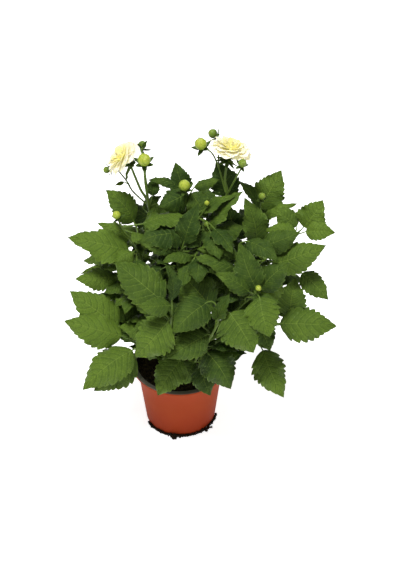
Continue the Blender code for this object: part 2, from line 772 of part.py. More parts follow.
def petal_bmesh(reach, width, lift, slope, around):
    """One petal of a bloom about +Z: it rises from the core at a slope, and its tip turns down again.

    It leans over a little, so that one edge passes over the next petal.
    """
    bm = bmesh.new()
    bmesh.ops.create_grid(bm, x_segments=3, y_segments=1, size=1.0)
    pitch = math.radians(slope)
    start = PETAL_ROOT * CORE_RADIUS * math.cos(pitch)
    for vert in bm.verts:
        a = (vert.co.x + 1) / 2
        half = 0.5 * width * PETAL_OUTLINE[round(a * 3)]
        run = (reach - start) * a
        height = lift + run * math.tan(pitch) - 0.16 * reach * a * a
        lean = vert.co.y * half * PETAL_LEAN * min(1, 3 * a)
        vert.co = Vector((start + run, vert.co.y * half, height + lean)) * MM
    bmesh.ops.triangulate(bm, faces=bm.faces)
    bmesh.ops.solidify(bm, geom=bm.faces, thickness=PETAL_THICKNESS * MM)
    bmesh.ops.recalc_face_normals(bm, faces=bm.faces)
    bmesh.ops.rotate(bm, verts=bm.verts, matrix=Matrix.Rotation(around, 3, "Z"))
    return bm


def bloom_parts(bloom):
    """The heart of a bloom and its rows of petals, as bmeshes."""
    place = Matrix.Translation(Vector(bloom.centre) * MM) @ turn_to(bloom.axis)
    heart = bmesh.new()
    bmesh.ops.create_uvsphere(heart, u_segments=9, v_segments=5, radius=CORE_RADIUS * MM)
    bmesh.ops.scale(heart, vec=(1, 1, BLOOM_SEAT / CORE_RADIUS), verts=heart.verts)
    made = [heart]
    for row, (count, reach, width, lift, slope) in enumerate(PETAL_ROWS):
        for i in range(count):
            made.append(petal_bmesh(reach, width, lift, slope, math.tau * (i + 0.5 * (row % 2)) / count))
    for bm in made:
        bm.transform(place)
    return made


def grow(room):
    """Fills the room with stems, buds and blooms, then sets every leaf where it is clear of the rest."""
    paths = {shoot.name: [stem_path(stem, shoot) for stem in shoot.stems] for shoot in SHOOTS}
    for shoot in SHOOTS:
        for stem, path in zip(shoot.stems, paths[shoot.name]):
            for start, end, radius in zip(path, path[1:], tapered(stem, len(path))):
                rod = bmesh.new()
                add_rod(rod, start, end, radius + CLEARANCE)
                room.add(shoot.name, "stem", rod)
                rod.free()
        for bud in shoot.buds:
            for bm in bud_parts(bud):
                room.add(shoot.name, "bract", bm)
                bm.free()
            ball = bud_ball(bud)
            room.add(bud.name, "ball", ball)
            ball.free()
        for bloom in shoot.blooms:
            for bm in calyx_parts(bloom):
                room.add(shoot.name, "bract", bm)
                bm.free()
            for bm in bloom_parts(bloom):
                room.add(bloom.name, "petal", bm)
                bm.free()
    grown = {shoot.name: [] for shoot in SHOOTS}
    named = [(leaf, shoot) for shoot in SHOOTS for leaf in shoot.leaves]
    named.sort(key=lambda pair: pair[0].y)
    for leaf, shoot in named:
        bend = bend_clear(leaf, shoot, paths[shoot.name], room)
        if bend:
            settle(leaf, bend, shoot, paths, room, grown)
    for leaf in far_side_leaves():
        shoot = nearest_shoot(leaf, paths)
        bend = bend_clear(leaf, shoot, paths[shoot.name], room)
        if bend:
            settle(leaf, bend, shoot, paths, room, grown)
    return paths, grown


def nearest_shoot(leaf, paths):
    """The shoot with a stem nearest behind a leaf."""
    behind = Vector((leaf.x, leaf.y, leaf.z)) - heading_vector(leaf.heading, leaf.rise) * 30
    return min(SHOOTS, key=lambda shoot: min((place - behind).length
                                             for path in paths[shoot.name] for place in path))


def settle(leaf, bend, shoot, paths, room, grown):
    """Takes up the room of a leaf and its stalk, and notes them."""
    blade = leaf_bmesh(leaf, bend, [], BLADE_THICKNESS)
    room.add(shoot.name, "blade", blade)
    blade.free()
    stalk = stalk_rods(leaf, bend, paths[shoot.name], 0)
    room.add(shoot.name, "stalk", stalk)
    stalk.free()
    grown[shoot.name].append((leaf, bend))


def make_shoot(shoot, paths, leaves, parts, operands, look):
    """One leafy shoot in one body: stems, stalks, toothed blades, and the bracts of its buds and blooms."""
    pieces = []
    for i, (stem, path) in enumerate(zip(shoot.stems, paths)):
        sides = 1 if stem.radius_low > 2 else 0
        pieces.append(tube(f"{shoot.name}_stem_{i}", path, tapered(stem, len(path)), sides, operands))
    for i, (leaf, bend) in enumerate(leaves):
        blade = leaf_bmesh(leaf, bend, stalk_points(leaf, bend, paths), BLADE_THICKNESS)
        pieces.append(mesh_object(f"{shoot.name}_leaf_{i}", blade, operands))
    for bud in shoot.buds:
        pieces += [mesh_object(f"{bud.name}_bract", bm, operands) for bm in bud_parts(bud)]
    for bloom in shoot.blooms:
        pieces += [mesh_object(f"{bloom.name}_bract", bm, operands) for bm in calyx_parts(bloom)]
    finish(fuse(shoot.name, pieces, operands), look, parts)


def main():
    for thing in list(bpy.data.objects):
        bpy.data.objects.remove(thing)
    scene = bpy.context.scene.collection
    parts = bpy.data.collections.new("potted_dahlia")
    operands = bpy.data.collections.new("joined_pieces")
    cutter_sets = [bpy.data.collections.new(name) for name in ("drain_cutters", "stem_holes")]
    for collection in (parts, operands, *cutter_sets):
        scene.children.link(collection)
    operands.hide_render = True
    for collection in cutter_sets:
        collection.hide_render = True

    paths, grown = grow(Room())
    leaf_green = material("leaf_green", (0.09, 0.17, 0.035), 0.55)
    bud_looks = {
        "yellow": material("bud_yellow_green", (0.5, 0.52, 0.1), 0.5),
        "green": material("bud_green", (0.2, 0.32, 0.06), 0.5),
    }
    petal_cream = material("petal_cream", (0.93, 0.86, 0.6), 0.6)
    for shoot in SHOOTS:
        make_shoot(shoot, paths[shoot.name], grown[shoot.name], parts, operands, leaf_green)
        for bud in shoot.buds:
            finish(mesh_object(bud.name, bud_ball(bud), parts), bud_looks[bud.colour], parts)
        for bloom in shoot.blooms:
            pieces = [mesh_object(f"{bloom.name}_petal", bm, operands) for bm in bloom_parts(bloom)]
            finish(fuse(bloom.name, pieces, operands), petal_cream, parts)
    make_crumbs(parts)
    make_pot(parts, cutter_sets[0])
    make_soil(parts, cutter_sets[1])


main()
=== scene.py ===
"""Looks of a potted dahlia in bloom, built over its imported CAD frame.

The plan below is the one that the CAD solids were built from, and how far each leaf was bent is read
from them. Finer leaves, stems, petals, buds, soil and a rounder pot stand for them here. Lengths in the
tables are in millimetres, and MM turns them into metres.
"""
from __future__ import annotations

import itertools
import logging
import math
import random
from dataclasses import dataclass, field
from enum import Enum
from typing import Callable, Iterable, Sequence

import bmesh
import bpy
from mathutils import Matrix, Vector, noise
from mathutils.bvhtree import BVHTree
from mathutils.kdtree import KDTree


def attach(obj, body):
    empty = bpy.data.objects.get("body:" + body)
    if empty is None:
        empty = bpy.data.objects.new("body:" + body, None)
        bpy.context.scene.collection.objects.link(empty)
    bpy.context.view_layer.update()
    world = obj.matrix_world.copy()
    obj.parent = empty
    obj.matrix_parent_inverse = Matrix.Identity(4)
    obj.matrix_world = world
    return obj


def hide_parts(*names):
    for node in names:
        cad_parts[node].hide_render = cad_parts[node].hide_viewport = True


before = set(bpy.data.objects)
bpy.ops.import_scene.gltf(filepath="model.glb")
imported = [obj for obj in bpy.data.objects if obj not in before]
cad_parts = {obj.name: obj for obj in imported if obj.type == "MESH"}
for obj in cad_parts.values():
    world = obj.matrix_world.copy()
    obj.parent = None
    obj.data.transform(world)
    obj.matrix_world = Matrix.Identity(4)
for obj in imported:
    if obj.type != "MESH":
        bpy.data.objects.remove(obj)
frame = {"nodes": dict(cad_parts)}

LOG = logging.getLogger("dahlia")
Colour = tuple[float, float, float]
Place = tuple[float, float, float]
BMesh = bmesh.types.BMesh
Material = bpy.types.Material

MM = 0.001
# Corners closer than this are merged into one.
WELD = 0.002 * MM
# Faces that meet at a smaller angle, in degrees, shade as one surface.
SMOOTH_ANGLE = 50


# Shader graphs

def operation(kind: str) -> Callable[..., "Wire"]:
    """A method of a wire that adds a Math node of a kind."""
    return lambda wire, *others: wire.maths(kind, *others)


class Wire:
    """One output of a shader graph, which takes part in sums and products."""

    def __init__(self, graph: "Graph", socket: bpy.types.NodeSocket) -> None:
        """Keeps the graph and the socket."""
        self.graph = graph
        self.socket = socket

    def of(self, output: str) -> "Wire":
        """Another output of the same node."""
        return Wire(self.graph, self.socket.node.outputs[output])

    def maths(self, operation: str, *others: "Wire | float") -> "Wire":
        """A Math node on this value and the others."""
        return self.graph.node("ShaderNodeMath", {"operation": operation},
                               dict(enumerate([self, *others])))

    def clamped(self) -> "Wire":
        """The value held between 0 and 1."""
        return self.graph.node("ShaderNodeClamp", {}, {0: self})

    __add__ = __radd__ = operation("ADD")
    __mul__ = __rmul__ = operation("MULTIPLY")
    __sub__ = operation("SUBTRACT")
    __truediv__ = operation("DIVIDE")
    __pow__ = operation("POWER")
    __abs__ = operation("ABSOLUTE")

    def __rsub__(self, other: float) -> "Wire":
        """A number less this value."""
        return self * -1.0 + other


class Graph:
    """A material's nodes around one Principled shader."""

    def __init__(self, name: str) -> None:
        """Starts a material of this name.

        Args:
            name: The material's name.
        """
        self.material = bpy.data.materials.new(name)
        self.material.use_nodes = True
        self.tree = self.material.node_tree
        self.shader = self.tree.nodes["Principled BSDF"]

    def node(self, kind: str, settings: dict, inputs: dict, output: int | str = 0) -> Wire:
        """Adds a node.

        Args:
            kind: The node's type.
            settings: Its own settings, which are set first.
            inputs: Values or wires by input name or number.
            output: The output that is handed back.

        Returns:
            The wire from that output.
        """
        made = self.tree.nodes.new(kind)
        for key, value in settings.items():
            setattr(made, key, value)
        for key, value in inputs.items():
            self.feed(made.inputs[key], value)
        return Wire(self, made.outputs[output])

    def feed(self, socket: bpy.types.NodeSocket, value: "Wire | float | Sequence[float]") -> None:
        """Links a wire to a socket, or sets the socket's own value.

        Args:
            socket: The socket that takes it.
            value: The wire, number, vector or colour.
        """
        if isinstance(value, Wire):
            self.tree.links.new(value.socket, socket)
        elif isinstance(value, (tuple, list)) and len(value) == 3 and socket.type == "RGBA":
            socket.default_value = (*value, 1.0)
        else:
            socket.default_value = value

    def blend(self, share: "Wire | float", first: "Wire | Colour", second: "Wire | Colour") -> Wire:
        """Mixes two colours: the first where the share is 0, the second where it is 1."""
        return self.node("ShaderNodeMix", {"data_type": "RGBA"}, {0: share, 6: first, 7: second}, 2)

    def place(self, scale: Sequence[float] = (1, 1, 1)) -> Wire:
        """Object coordinates, stretched by a scale."""
        found = self.node("ShaderNodeTexCoord", {}, {}, "Object")
        return self.node("ShaderNodeVectorMath", {"operation": "MULTIPLY"}, {0: found, 1: tuple(scale)})

    def axes(self, vector: Wire) -> tuple[Wire, Wire, Wire]:
        """A vector's three parts."""
        split = self.node("ShaderNodeSeparateXYZ", {}, {0: vector})
        return split, split.of("Y"), split.of("Z")

    def grain(self, vector: Wire, scale: float, detail: float = 3.0, roughness: float = 0.55) -> Wire:
        """Soft noise from 0 to 1."""
        return self.node("ShaderNodeTexNoise", {},
                         {"Vector": vector, "Scale": scale, "Detail": detail, "Roughness": roughness})

    def cells(self, vector: Wire, scale: float, feature: str = "F1") -> Wire:
        """Distance in a pattern of cells."""
        return self.node("ShaderNodeTexVoronoi", {"feature": feature}, {"Vector": vector, "Scale": scale})

    def attribute(self, name: str) -> Wire:
        """A number kept on the mesh."""
        return self.node("ShaderNodeAttribute", {"attribute_name": name}, {}, "Fac")

    def relief(self, height: Wire, distance: float, strength: float = 1.0) -> Wire:
        """A normal bent by a height in metres."""
        return self.node("ShaderNodeBump", {},
                         {"Height": height, "Distance": distance, "Strength": strength})

    def finish(self, **inputs: "Wire | float | Colour") -> Material:
        """Sets the shader's sockets, with underscores for spaces.

        Args:
            inputs: Values or wires by socket name.

        Returns:
            The material.
        """
        for key, value in inputs.items():
            self.feed(self.shader.inputs[key.replace("_", " ")], value)
        return self.material


# Finishes

# The side veins leave the midrib at even steps of the blade's length and sweep forwards to the margin.
VEIN_START = 0.05
VEIN_STEP = 0.125
VEIN_SWEEP = 0.24
VEIN_CURVE = 1.25


@dataclass(frozen=True)
class LeafFinish:
    """Satin green blade with lighter veins, a quilted face and a paler underside, with painted shade in its
    grooves and towards its base.
    """

    dark: Colour = (0.022, 0.047, 0.006)
    bright: Colour = (0.122, 0.2, 0.021)
    vein: Colour = (0.2, 0.29, 0.045)
    fresh: Colour = (0.2, 0.27, 0.03)
    under: Colour = (0.1, 0.16, 0.035)

    def material(self) -> Material:
        """Builds it.

        Returns:
            The material.
        """
        g = Graph("leaf_green")
        along, across = leaf_plane(g)
        place = g.place()
        along = along + g.grain(place, 120.0, 2.0) * 0.05 - 0.025
        rib = (1 - across / 0.028).clamped()
        lane = side_lane(along, across)
        fade = (1.1 - across * 0.6).clamped() * (1.25 - along).clamped()
        side = (1 - lane.maths("PINGPONG", 0.5) / 0.085).clamped() * fade
        cloud = g.grain(place, 38.0, 3.0)
        mottle = g.grain(place, 170.0, 3.0)
        fine = g.grain(place, 420.0, 4.0)
        # Painted shade: the blade is darker towards its base and lighter towards its tip, because the
        # bush's middle is in shade. The number kept on each blade adds its own painted light or shade.
        tone_and_shade = (g.attribute("tone_and_shade") + cloud * 0.7 + mottle * 0.7 + along * 0.36 - 0.86).clamped()
        base = g.blend(tone_and_shade, self.dark, self.bright)
        base = g.blend((cloud * 3.0 - 1.6).clamped() * 0.14, base, self.fresh)
        base = g.blend(fine * 0.42, base, self.dark)
        # Painted shade: the sunken vein net and one side of each ridge between the side veins are darkened,
        # as if lit from one side.
        net = (1 - g.cells(place, 400.0, "DISTANCE_TO_EDGE") * 5.0).clamped()
        trough = (1 - abs(lane.maths("FRACT") - 0.2) / 0.16).clamped() * (1 - across * 0.4)
        rim = ((across - 0.93) * 12.0).clamped()
        base = g.blend(net * 0.26 + trough * (mottle * 0.75), base, self.dark)
        pale = (rib * 0.5 + side * (mottle * 0.9 - 0.16) + rim * 0.32).clamped()
        base = g.blend(pale, base, self.vein)
        base = g.blend(g.attribute("under") * 0.75, base, self.under)
        height = net * -0.5 + trough * -0.6 + rib * -0.5 + mottle * 0.6 + fine * 0.3
        return g.finish(Base_Color=base, Roughness=0.46 + fine * 0.22, Normal=g.relief(height, 0.0008, 0.8),
                        Specular_IOR_Level=0.12)


@dataclass(frozen=True)
class StemFinish:
    """Juicy green stem with fine pale streaks along it."""

    green: Colour = (0.078, 0.135, 0.016)
    pale: Colour = (0.14, 0.21, 0.036)
    flush: Colour = (0.09, 0.08, 0.02)

    def material(self) -> Material:
        """Builds it.

        Returns:
            The material.
        """
        g = Graph("stem_green")
        streak = g.grain(g.place((1, 1, 0.06)), 900.0, 3.0)
        cloud = g.grain(g.place(), 24.0, 2.0)
        base = g.blend((streak * 1.5 - 0.45).clamped(), self.green, self.pale)
        base = g.blend((cloud * 2.2 - 1.2).clamped() * 0.35, base, self.flush)
        return g.finish(Base_Color=base, Roughness=0.38 + streak * 0.2,
                        Normal=g.relief(streak, 0.0003, 0.5), Specular_IOR_Level=0.25)


@dataclass(frozen=True)
class PetalFinish:
    """Cream petal, ribbed lengthways, with a pale yellow heart and a faint painted glow that lightens its
    shade.
    """

    cream: Colour = (0.82, 0.77, 0.56)
    yellow: Colour = (0.78, 0.69, 0.26)
    green: Colour = (0.55, 0.58, 0.12)

    def material(self) -> Material:
        """Builds it.

        Returns:
            The material.
        """
        g = Graph("petal_cream")
        across, along = uv_plane(g)
        ribs = g.grain(g.node("ShaderNodeCombineXYZ", {}, {0: across * 9.0, 1: along * 0.7}), 2.4, 2.0)
        cloud = g.grain(g.place(), 160.0, 2.0)
        warm = ((1 - g.attribute("reach")) * 1.5 - 0.28 + cloud * 0.1).clamped()
        root = (1 - along * 2.4).clamped() * 0.6
        base = g.blend(warm * 0.85, self.cream, self.yellow)
        base = g.blend(root, base, self.green)
        base = g.blend(ribs * 0.12, base, self.yellow)
        # Painted light: the petal glows faintly in its own colour, to lighten the shade between petals.
        return g.finish(Base_Color=base, Roughness=0.5 + ribs * 0.15, Normal=g.relief(ribs, 0.0003, 0.6),
                        Subsurface_Weight=0.7, Subsurface_Scale=0.006, Subsurface_Radius=(1.0, 0.85, 0.35),
                        Specular_IOR_Level=0.2, Emission_Color=base, Emission_Strength=0.13)


@dataclass(frozen=True)
class BudFinish:
    """Closed scales of a bud, darker along their seams."""

    name: str
    body: Colour
    seam: Colour
    tip: Colour

    def material(self) -> Material:
        """Builds it.

        Returns:
            The material.
        """
        g = Graph(self.name)
        groove = g.attribute("groove")
        height = g.attribute("reach")
        speck = g.grain(g.place(), 700.0, 3.0)
        base = g.blend((height * 1.4 - 0.5).clamped(), self.body, self.tip)
        base = g.blend((groove * 0.6 + speck * 0.2).clamped(), base, self.seam)
        return g.finish(Base_Color=base, Roughness=0.34 + speck * 0.2, Normal=g.relief(speck, 0.0002, 0.4),
                        Subsurface_Weight=0.08, Subsurface_Scale=0.003, Specular_IOR_Level=0.25)


@dataclass(frozen=True)
class PotFinish:
    """Thin satin plastic, a little scuffed and splashed near its foot."""

    name: str
    shell: Colour
    shade: Colour
    roughness: float
    dirt: Colour = (0.05, 0.028, 0.018)

    def material(self) -> Material:
        """Builds it.

        Returns:
            The material.
        """
        g = Graph(self.name)
        place = g.place()
        cloud = g.grain(place, 26.0, 4.0)
        scuff = g.grain(g.place((1, 1, 4)), 190.0, 5.0, 0.65)
        _, _, z = g.axes(place)
        low = (1 - z / 0.05).clamped()
        splash = (g.grain(place, 150.0, 6.0, 0.7) * 3.4 - 2.2).clamped()
        base = g.blend((cloud * 1.3 - 0.3).clamped() * 0.45 + low * 0.5, self.shell, self.shade)
        base = g.blend(splash * (low * 0.75 + 0.06), base, self.dirt)
        rough = self.roughness + scuff * 0.14 + splash * 0.2
        return g.finish(Base_Color=base, Roughness=rough, Normal=g.relief(scuff, 0.00025, 0.25),
                        Specular_IOR_Level=0.07)


@dataclass(frozen=True)
class PeatFinish:
    """Dark crumbly peat, flecked with pale grains."""

    name: str
    dark: Colour = (0.007, 0.005, 0.0032)
    brown: Colour = (0.085, 0.052, 0.03)
    fleck: Colour = (0.42, 0.36, 0.27)
    flecks: float = 1.0

    def material(self) -> Material:
        """Builds it.

        Returns:
            The material.
        """
        g = Graph(self.name)
        place = g.place()
        lump = g.grain(place, 260.0, 6.0, 0.7)
        fibre = g.grain(g.place((1, 0.25, 1)), 1300.0, 4.0, 0.7)
        base = g.blend((lump * 2.2 - 0.75).clamped(), self.dark, self.brown)
        pale = (g.cells(place, 330.0) * -9.0 + 1.15).clamped() * self.flecks
        base = g.blend(pale * 0.8, base, self.fleck)
        return g.finish(Base_Color=base, Roughness=0.86 + fibre * 0.14,
                        Normal=g.relief(lump * 0.7 + fibre * 0.5, 0.0016, 0.9), Specular_IOR_Level=0.1)


@dataclass(frozen=True)
class FloorFinish:
    """Plain white paper, faintly lit from below as on a light table."""

    pale: Colour = (0.94, 0.94, 0.94)
    glow: float = 0.8

    def material(self) -> Material:
        """Builds it.

        Returns:
            The material.
        """
        g = Graph("pale_floor")
        speck = g.grain(g.place(), 30.0, 2.0)
        return g.finish(Base_Color=self.pale, Roughness=0.85 + speck * 0.1, Emission_Color=(1.0, 1.0, 1.0),
                        Emission_Strength=self.glow)


def uv_plane(g: Graph) -> tuple[Wire, Wire]:
    """The first and second numbers of the piece's own UV map."""
    first, second, _ = g.axes(g.node("ShaderNodeUVMap", {"uv_map": "blade"}, {}))
    return first, second


def leaf_plane(g: Graph) -> tuple[Wire, Wire]:
    """How far along the blade a point is, and how far from its midrib, both from 0 to 1."""
    across, along = uv_plane(g)
    return along, abs(across * 2.0 - 1.0)


def side_lane(along: Wire, across: Wire) -> Wire:
    """Place between the side veins, where whole numbers are veins."""
    return (along - across ** VEIN_CURVE * VEIN_SWEEP - VEIN_START) / VEIN_STEP


# Mesh makers

def grid(bm: BMesh, long: int, wide: int) -> list[tuple[bmesh.types.BMVert, int, float]]:
    """Adds a flat grid, to be bent into shape.

    Args:
        bm: Mesh that takes it.
        long: Its faces along it.
        wide: Its faces across it.

    Returns:
        Each corner with its number along the grid and its share of the way across.
    """
    made = bmesh.ops.create_grid(bm, x_segments=long, y_segments=wide, size=1.0)["verts"]
    return [(vert, round((vert.co.x + 1) / 2 * long), (vert.co.y + 1) / 2) for vert in made]


def catmull(points: Sequence[Vector], steps_for: Callable[[float], int]) -> list[Vector]:
    """A smooth line through points.

    Args:
        points: Points that the line passes.
        steps_for: Gives the number of steps for a stretch of a length.

    Returns:
        The line's points.
    """
    line = [points[0].copy()]
    for i in range(len(points) - 1):
        before, start = points[max(i - 1, 0)], points[i]
        end, after = points[i + 1], points[min(i + 2, len(points) - 1)]
        steps = steps_for((end - start).length)
        for k in range(1, steps + 1):
            t = k / steps
            line.append(0.5 * (2 * start + (end - before) * t
                               + (2 * before - 5 * start + 4 * end - after) * t ** 2
                               + (3 * start - before - 3 * end + after) * t ** 3))
    return line


def add_tube(bm: BMesh, line: Sequence[Vector], radii: Sequence[float], sides: int) -> None:
    """Adds a closed round tube along a line, in millimetres.

    Args:
        bm: Mesh that takes it.
        line: Centre line.
        radii: Radius at each of its points.
        sides: Faces round it.
    """
    rings = [line[0], *line, line[-1]]
    sizes = [0.0, *radii, 0.0]
    ahead = (line[1] - line[0]).normalized()
    normal = ahead.orthogonal().normalized()
    normals = []
    for i in range(len(rings)):
        end = min(max(i, 1), len(line) - 1)
        onward = (line[end] - line[end - 1]).normalized()
        normal.rotate(ahead.rotation_difference(onward))
        ahead = onward
        normals.append((normal.copy(), onward.cross(normal)))
    corners = grid(bm, len(rings) - 1, sides)
    for vert, i, turn in corners:
        angle = turn * math.tau
        first, second = normals[i]
        place = rings[i] + (first * math.cos(angle) + second * math.sin(angle)) * sizes[i]
        vert.co = place * MM
    bmesh.ops.remove_doubles(bm, verts=[corner[0] for corner in corners], dist=WELD)


@dataclass
class Sheet:
    """A thin closed sheet, whose upper and lower faces meet along its margin.

    Stations run along it from 0 to 1, columns across it from -1 to 1, and notes are numbers kept on its
    corners for its finish to read.
    """

    stations: Sequence[float]
    columns: Sequence[float]
    surface: Callable[[float, float], Vector]
    thickness: Callable[[float, float], float]
    up: Vector
    notes: dict[str, Callable[[float, float, bool], float]] = field(default_factory=dict)

    def add(self, bm: BMesh) -> None:
        """Adds it to a mesh, with its UV map and notes.

        Args:
            bm: Mesh that takes it.
        """
        wide = len(self.columns) - 1
        for name in self.notes:
            if name not in bm.verts.layers.float:
                bm.verts.layers.float.new(name)
        if "blade" not in bm.loops.layers.uv:
            bm.loops.layers.uv.new("blade")
        uv = bm.loops.layers.uv["blade"]
        layers = {name: bm.verts.layers.float[name] for name in self.notes}
        plane = {}
        for vert, row, share in grid(bm, len(self.stations) - 1, 2 * wide):
            lap = round(share * 2 * wide)
            under = lap > wide
            column = 2 * wide - lap if under else lap
            a, b = self.stations[row], self.columns[column]
            plane[vert] = (b, a)
            rise = self.thickness(a, b) * (-0.5 if under else 0.5)
            if column in (0, wide):
                rise = 0.0
            vert.co = (self.surface(a, b) + self.up * rise) * MM
            for name, layer in layers.items():
                vert[layer] = self.notes[name](a, b, under)
        for face in {face for vert in plane for face in vert.link_faces}:
            for loop in face.loops:
                b, a = plane[loop.vert]
                loop[uv].uv = (0.5 + 0.5 * b, a)
        bmesh.ops.remove_doubles(bm, verts=list(plane), dist=WELD)


def graded(value: float, steps: Sequence[tuple[float, float]], least: float) -> float:
    """The grade beside the first limit that a value exceeds, or else the least grade."""
    return next((grade for limit, grade in steps if value > limit), least)


def smooth_step(low: float, high: float, value: float) -> float:
    """Rises smoothly from 0 at low to 1 at high."""
    t = min(max((value - low) / (high - low), 0.0), 1.0)
    return t * t * (3 - 2 * t)


def ping_pong(value: float) -> float:
    """Distance to the nearest whole number."""
    return abs(value - round(value))


def meshed(name: str, bm: BMesh) -> bpy.types.Mesh:
    """Turns a bmesh into a mesh.

    Args:
        name: The mesh's name.
        bm: The bmesh, which is freed.

    Returns:
        The mesh.
    """
    mesh = bpy.data.meshes.new(name)
    bm.to_mesh(mesh)
    bm.free()
    return mesh


def placed(name: str, data: bpy.types.ID) -> bpy.types.Object:
    """Puts a mesh, a lamp or a camera in the scene.

    Args:
        name: The object's name.
        data: What it shows.

    Returns:
        The object, at the origin.
    """
    made = bpy.data.objects.new(name, data)
    bpy.context.scene.collection.objects.link(made)
    return made


def finished(name: str, bm: BMesh, looks: Sequence[Material],
             replaced: Iterable[str] = ()) -> bpy.types.Object:
    """Files a mesh as a piece of the plant.

    Args:
        name: The piece's name.
        bm: Its mesh, which is freed.
        looks: Its materials.
        replaced: CAD nodes that it stands for.

    Returns:
        The piece.
    """
    bmesh.ops.recalc_face_normals(bm, faces=bm.faces)
    mesh = meshed(name, bm)
    for look in looks:
        mesh.materials.append(look)
    mesh.shade_smooth()
    mesh.set_sharp_from_angle(angle=math.radians(SMOOTH_ANGLE))
    made = placed(name, mesh)
    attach(made, "root")
    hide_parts(*replaced)
    LOG.info("%s: %d faces", name, len(mesh.polygons))
    return made


# The plant's plan, in millimetres and degrees, as the solids were built from it

class BudColour(Enum):
    """How far a bud has ripened."""

    YELLOW = "bud_yellow_green"
    GREEN = "bud_green"


@dataclass(frozen=True)
class Bend:
    """How far a leaf was turned and raised from its plan to clear its neighbours."""

    rise: float = 0
    heading: float = 0
    lift: float = 0


def heading_vector(heading: float, rise: float) -> Vector:
    """The unit vector along a heading and a rise in degrees."""
    h, r = math.radians(heading), math.radians(rise)
    return Vector((math.cos(r) * math.cos(h), math.cos(r) * math.sin(h), math.sin(r)))


@dataclass(frozen=True)
class Leaf:
    """One leaf: its base, its direction, its size and its roll about its own length."""

    x: float
    y: float
    z: float
    heading: float
    rise: float
    length: float
    width: float
    roll: float

    arch = 0.09
    fold = -0.12
    tooth_out = 1.06

    def axes(self, bend: Bend) -> tuple[Vector, Vector, Vector, Vector]:
        """The blade's own axes.

        Args:
            bend: How the leaf is bent.

        Returns:
            Its base, and the directions along it, across it and out of its face.
        """
        along = heading_vector(self.heading + bend.heading, self.rise + bend.rise)
        level = heading_vector(self.heading + bend.heading + 90, 0)
        across = Matrix.Rotation(math.radians(self.roll), 3, along) @ level
        base = Vector((self.x, self.y, self.z + bend.lift))
        return base, along, across, along.cross(across)

    @staticmethod
    def outline(a: float) -> float:
        """Half width at a share of the length, as a share of the widest half."""
        return 3.08 * a ** 0.62 * (1 - a) ** 1.1

    @property
    def stalk_half(self) -> float:
        """Half width of the stalk."""
        return 1.1 * graded(self.length, ((45, 1.0), (30, 0.8)), 0.6)

    def half(self, a: float, scale: float = 1.0) -> float:
        """Half width of the blade at a share of its length."""
        return max(0.5 * self.width * self.outline(a) * scale, self.stalk_half * (1 - a) ** 4)

    def point(self, axes: tuple[Vector, ...], a: float, b: float, scale: float = 1.0) -> Vector:
        """A point of the plain blade.

        Args:
            axes: The blade's own axes.
            a: Share of the length.
            b: From -1 at one margin to 1 at the other.
            scale: Stretch of the width.

        Returns:
            The place in millimetres.
        """
        base, along, across, up = axes
        half = self.half(a, scale)
        height = self.length * self.arch * 4 * a * (1 - a) + self.fold * abs(b) * half
        return base + along * self.length * a + across * half * b + up * height


@dataclass(frozen=True)
class Stem:
    """A stem through its points. A first point with no height stands in the soil."""

    points: tuple[tuple[float, ...], ...]
    low: float
    top: float


@dataclass(frozen=True)
class Head:
    """What a stem carries: its middle and the way that it faces."""

    name: str
    centre: Place
    axis: Place

    @property
    def turn(self) -> Matrix:
        """The turn from upright to the way that it faces."""
        return Vector(self.axis).to_track_quat("Z", "Y").to_matrix()

    def below(self, distance: float) -> Vector:
        """The place on its axis at a distance under its middle."""
        return Vector(self.centre) - Vector(self.axis).normalized() * distance


@dataclass(frozen=True)
class Bud(Head):
    """A round bud and the number of its bracts."""

    radius: float
    bracts: int
    colour: BudColour

    stem_seat = 1.25

    @property
    def seat(self) -> Vector:
        """Where the stem ends in the cup."""
        return Vector(self.centre) - Vector(self.axis).normalized() * self.radius * self.stem_seat


@dataclass(frozen=True)
class Bloom(Head):
    """An open flower head and the length of its bracts."""

    bract: float

    depth = 7.0
    stem_seat = 9.5

    @property
    def seat(self) -> Vector:
        """Where the stem ends in the cup."""
        return self.below(self.stem_seat)


@dataclass(frozen=True)
class Shoot:
    """A leafy shoot with its stems, buds, blooms and planned leaves."""

    name: str
    stems: tuple[Stem, ...]
    buds: tuple[Bud, ...]
    blooms: tuple[Bloom, ...]
    leaves: tuple[Leaf, ...]

    soil_top = 87.0
    rooted = 17.0
    upright = 12.0
    end_reach = 9.0

    def knots(self, stem: Stem) -> list[Vector]:
        """The points that a stem passes, from the soil to the cup it carries.

        Args:
            stem: One of the shoot's stems.

        Returns:
            The points.
        """
        points = list(stem.points)
        if len(points[0]) == 2:
            x, y = points[0]
            points[0:1] = [(x, y, self.soil_top - self.rooted), (x, y, self.soil_top + self.upright)]
        knots = [Vector(point) for point in points]
        seats = [thing.seat for thing in (*self.buds, *self.blooms)]
        return knots + [seat for seat in seats if (seat - knots[-1]).length < self.end_reach]

    def lines(self) -> list[list[Vector]]:
        """Every stem's line, as coarse as in the solids."""
        return [catmull(self.knots(stem), lambda length: 2 if length > 60 else 1) for stem in self.stems]

    def stalk(self, leaf: Leaf, bend: Bend, lines: Sequence[Sequence[Vector]]) -> list[Vector]:
        """Where a leaf's stalk runs.

        Args:
            leaf: The leaf.
            bend: How it is bent.
            lines: The lines of the shoot's stems.

        Returns:
            The stalk's points, from its stem up to the blade's base.
        """
        base, along, _, _ = leaf.axes(bend)
        behind = base - along * (8 + 0.35 * leaf.length)
        places = []
        for line in lines:
            for start, end in zip(line, line[1:]):
                places += [start.lerp(end, k / 3) for k in range(3)]
            places.append(line[-1])
        places = [place for place in places if place.z > self.soil_top + 4]
        root = min(places, key=lambda place: (place - behind).length + max(0, place.z - base.z + 5))
        reach = (base - root).length
        elbow = base - along * reach * 0.45
        return [root, root.lerp(elbow, 0.85), base] if reach > 18 else [root, base]


def rows(kind: type, *found: tuple) -> tuple:
    """Makes one object of a kind from each row of its values."""
    return tuple(kind(*values) for values in found)


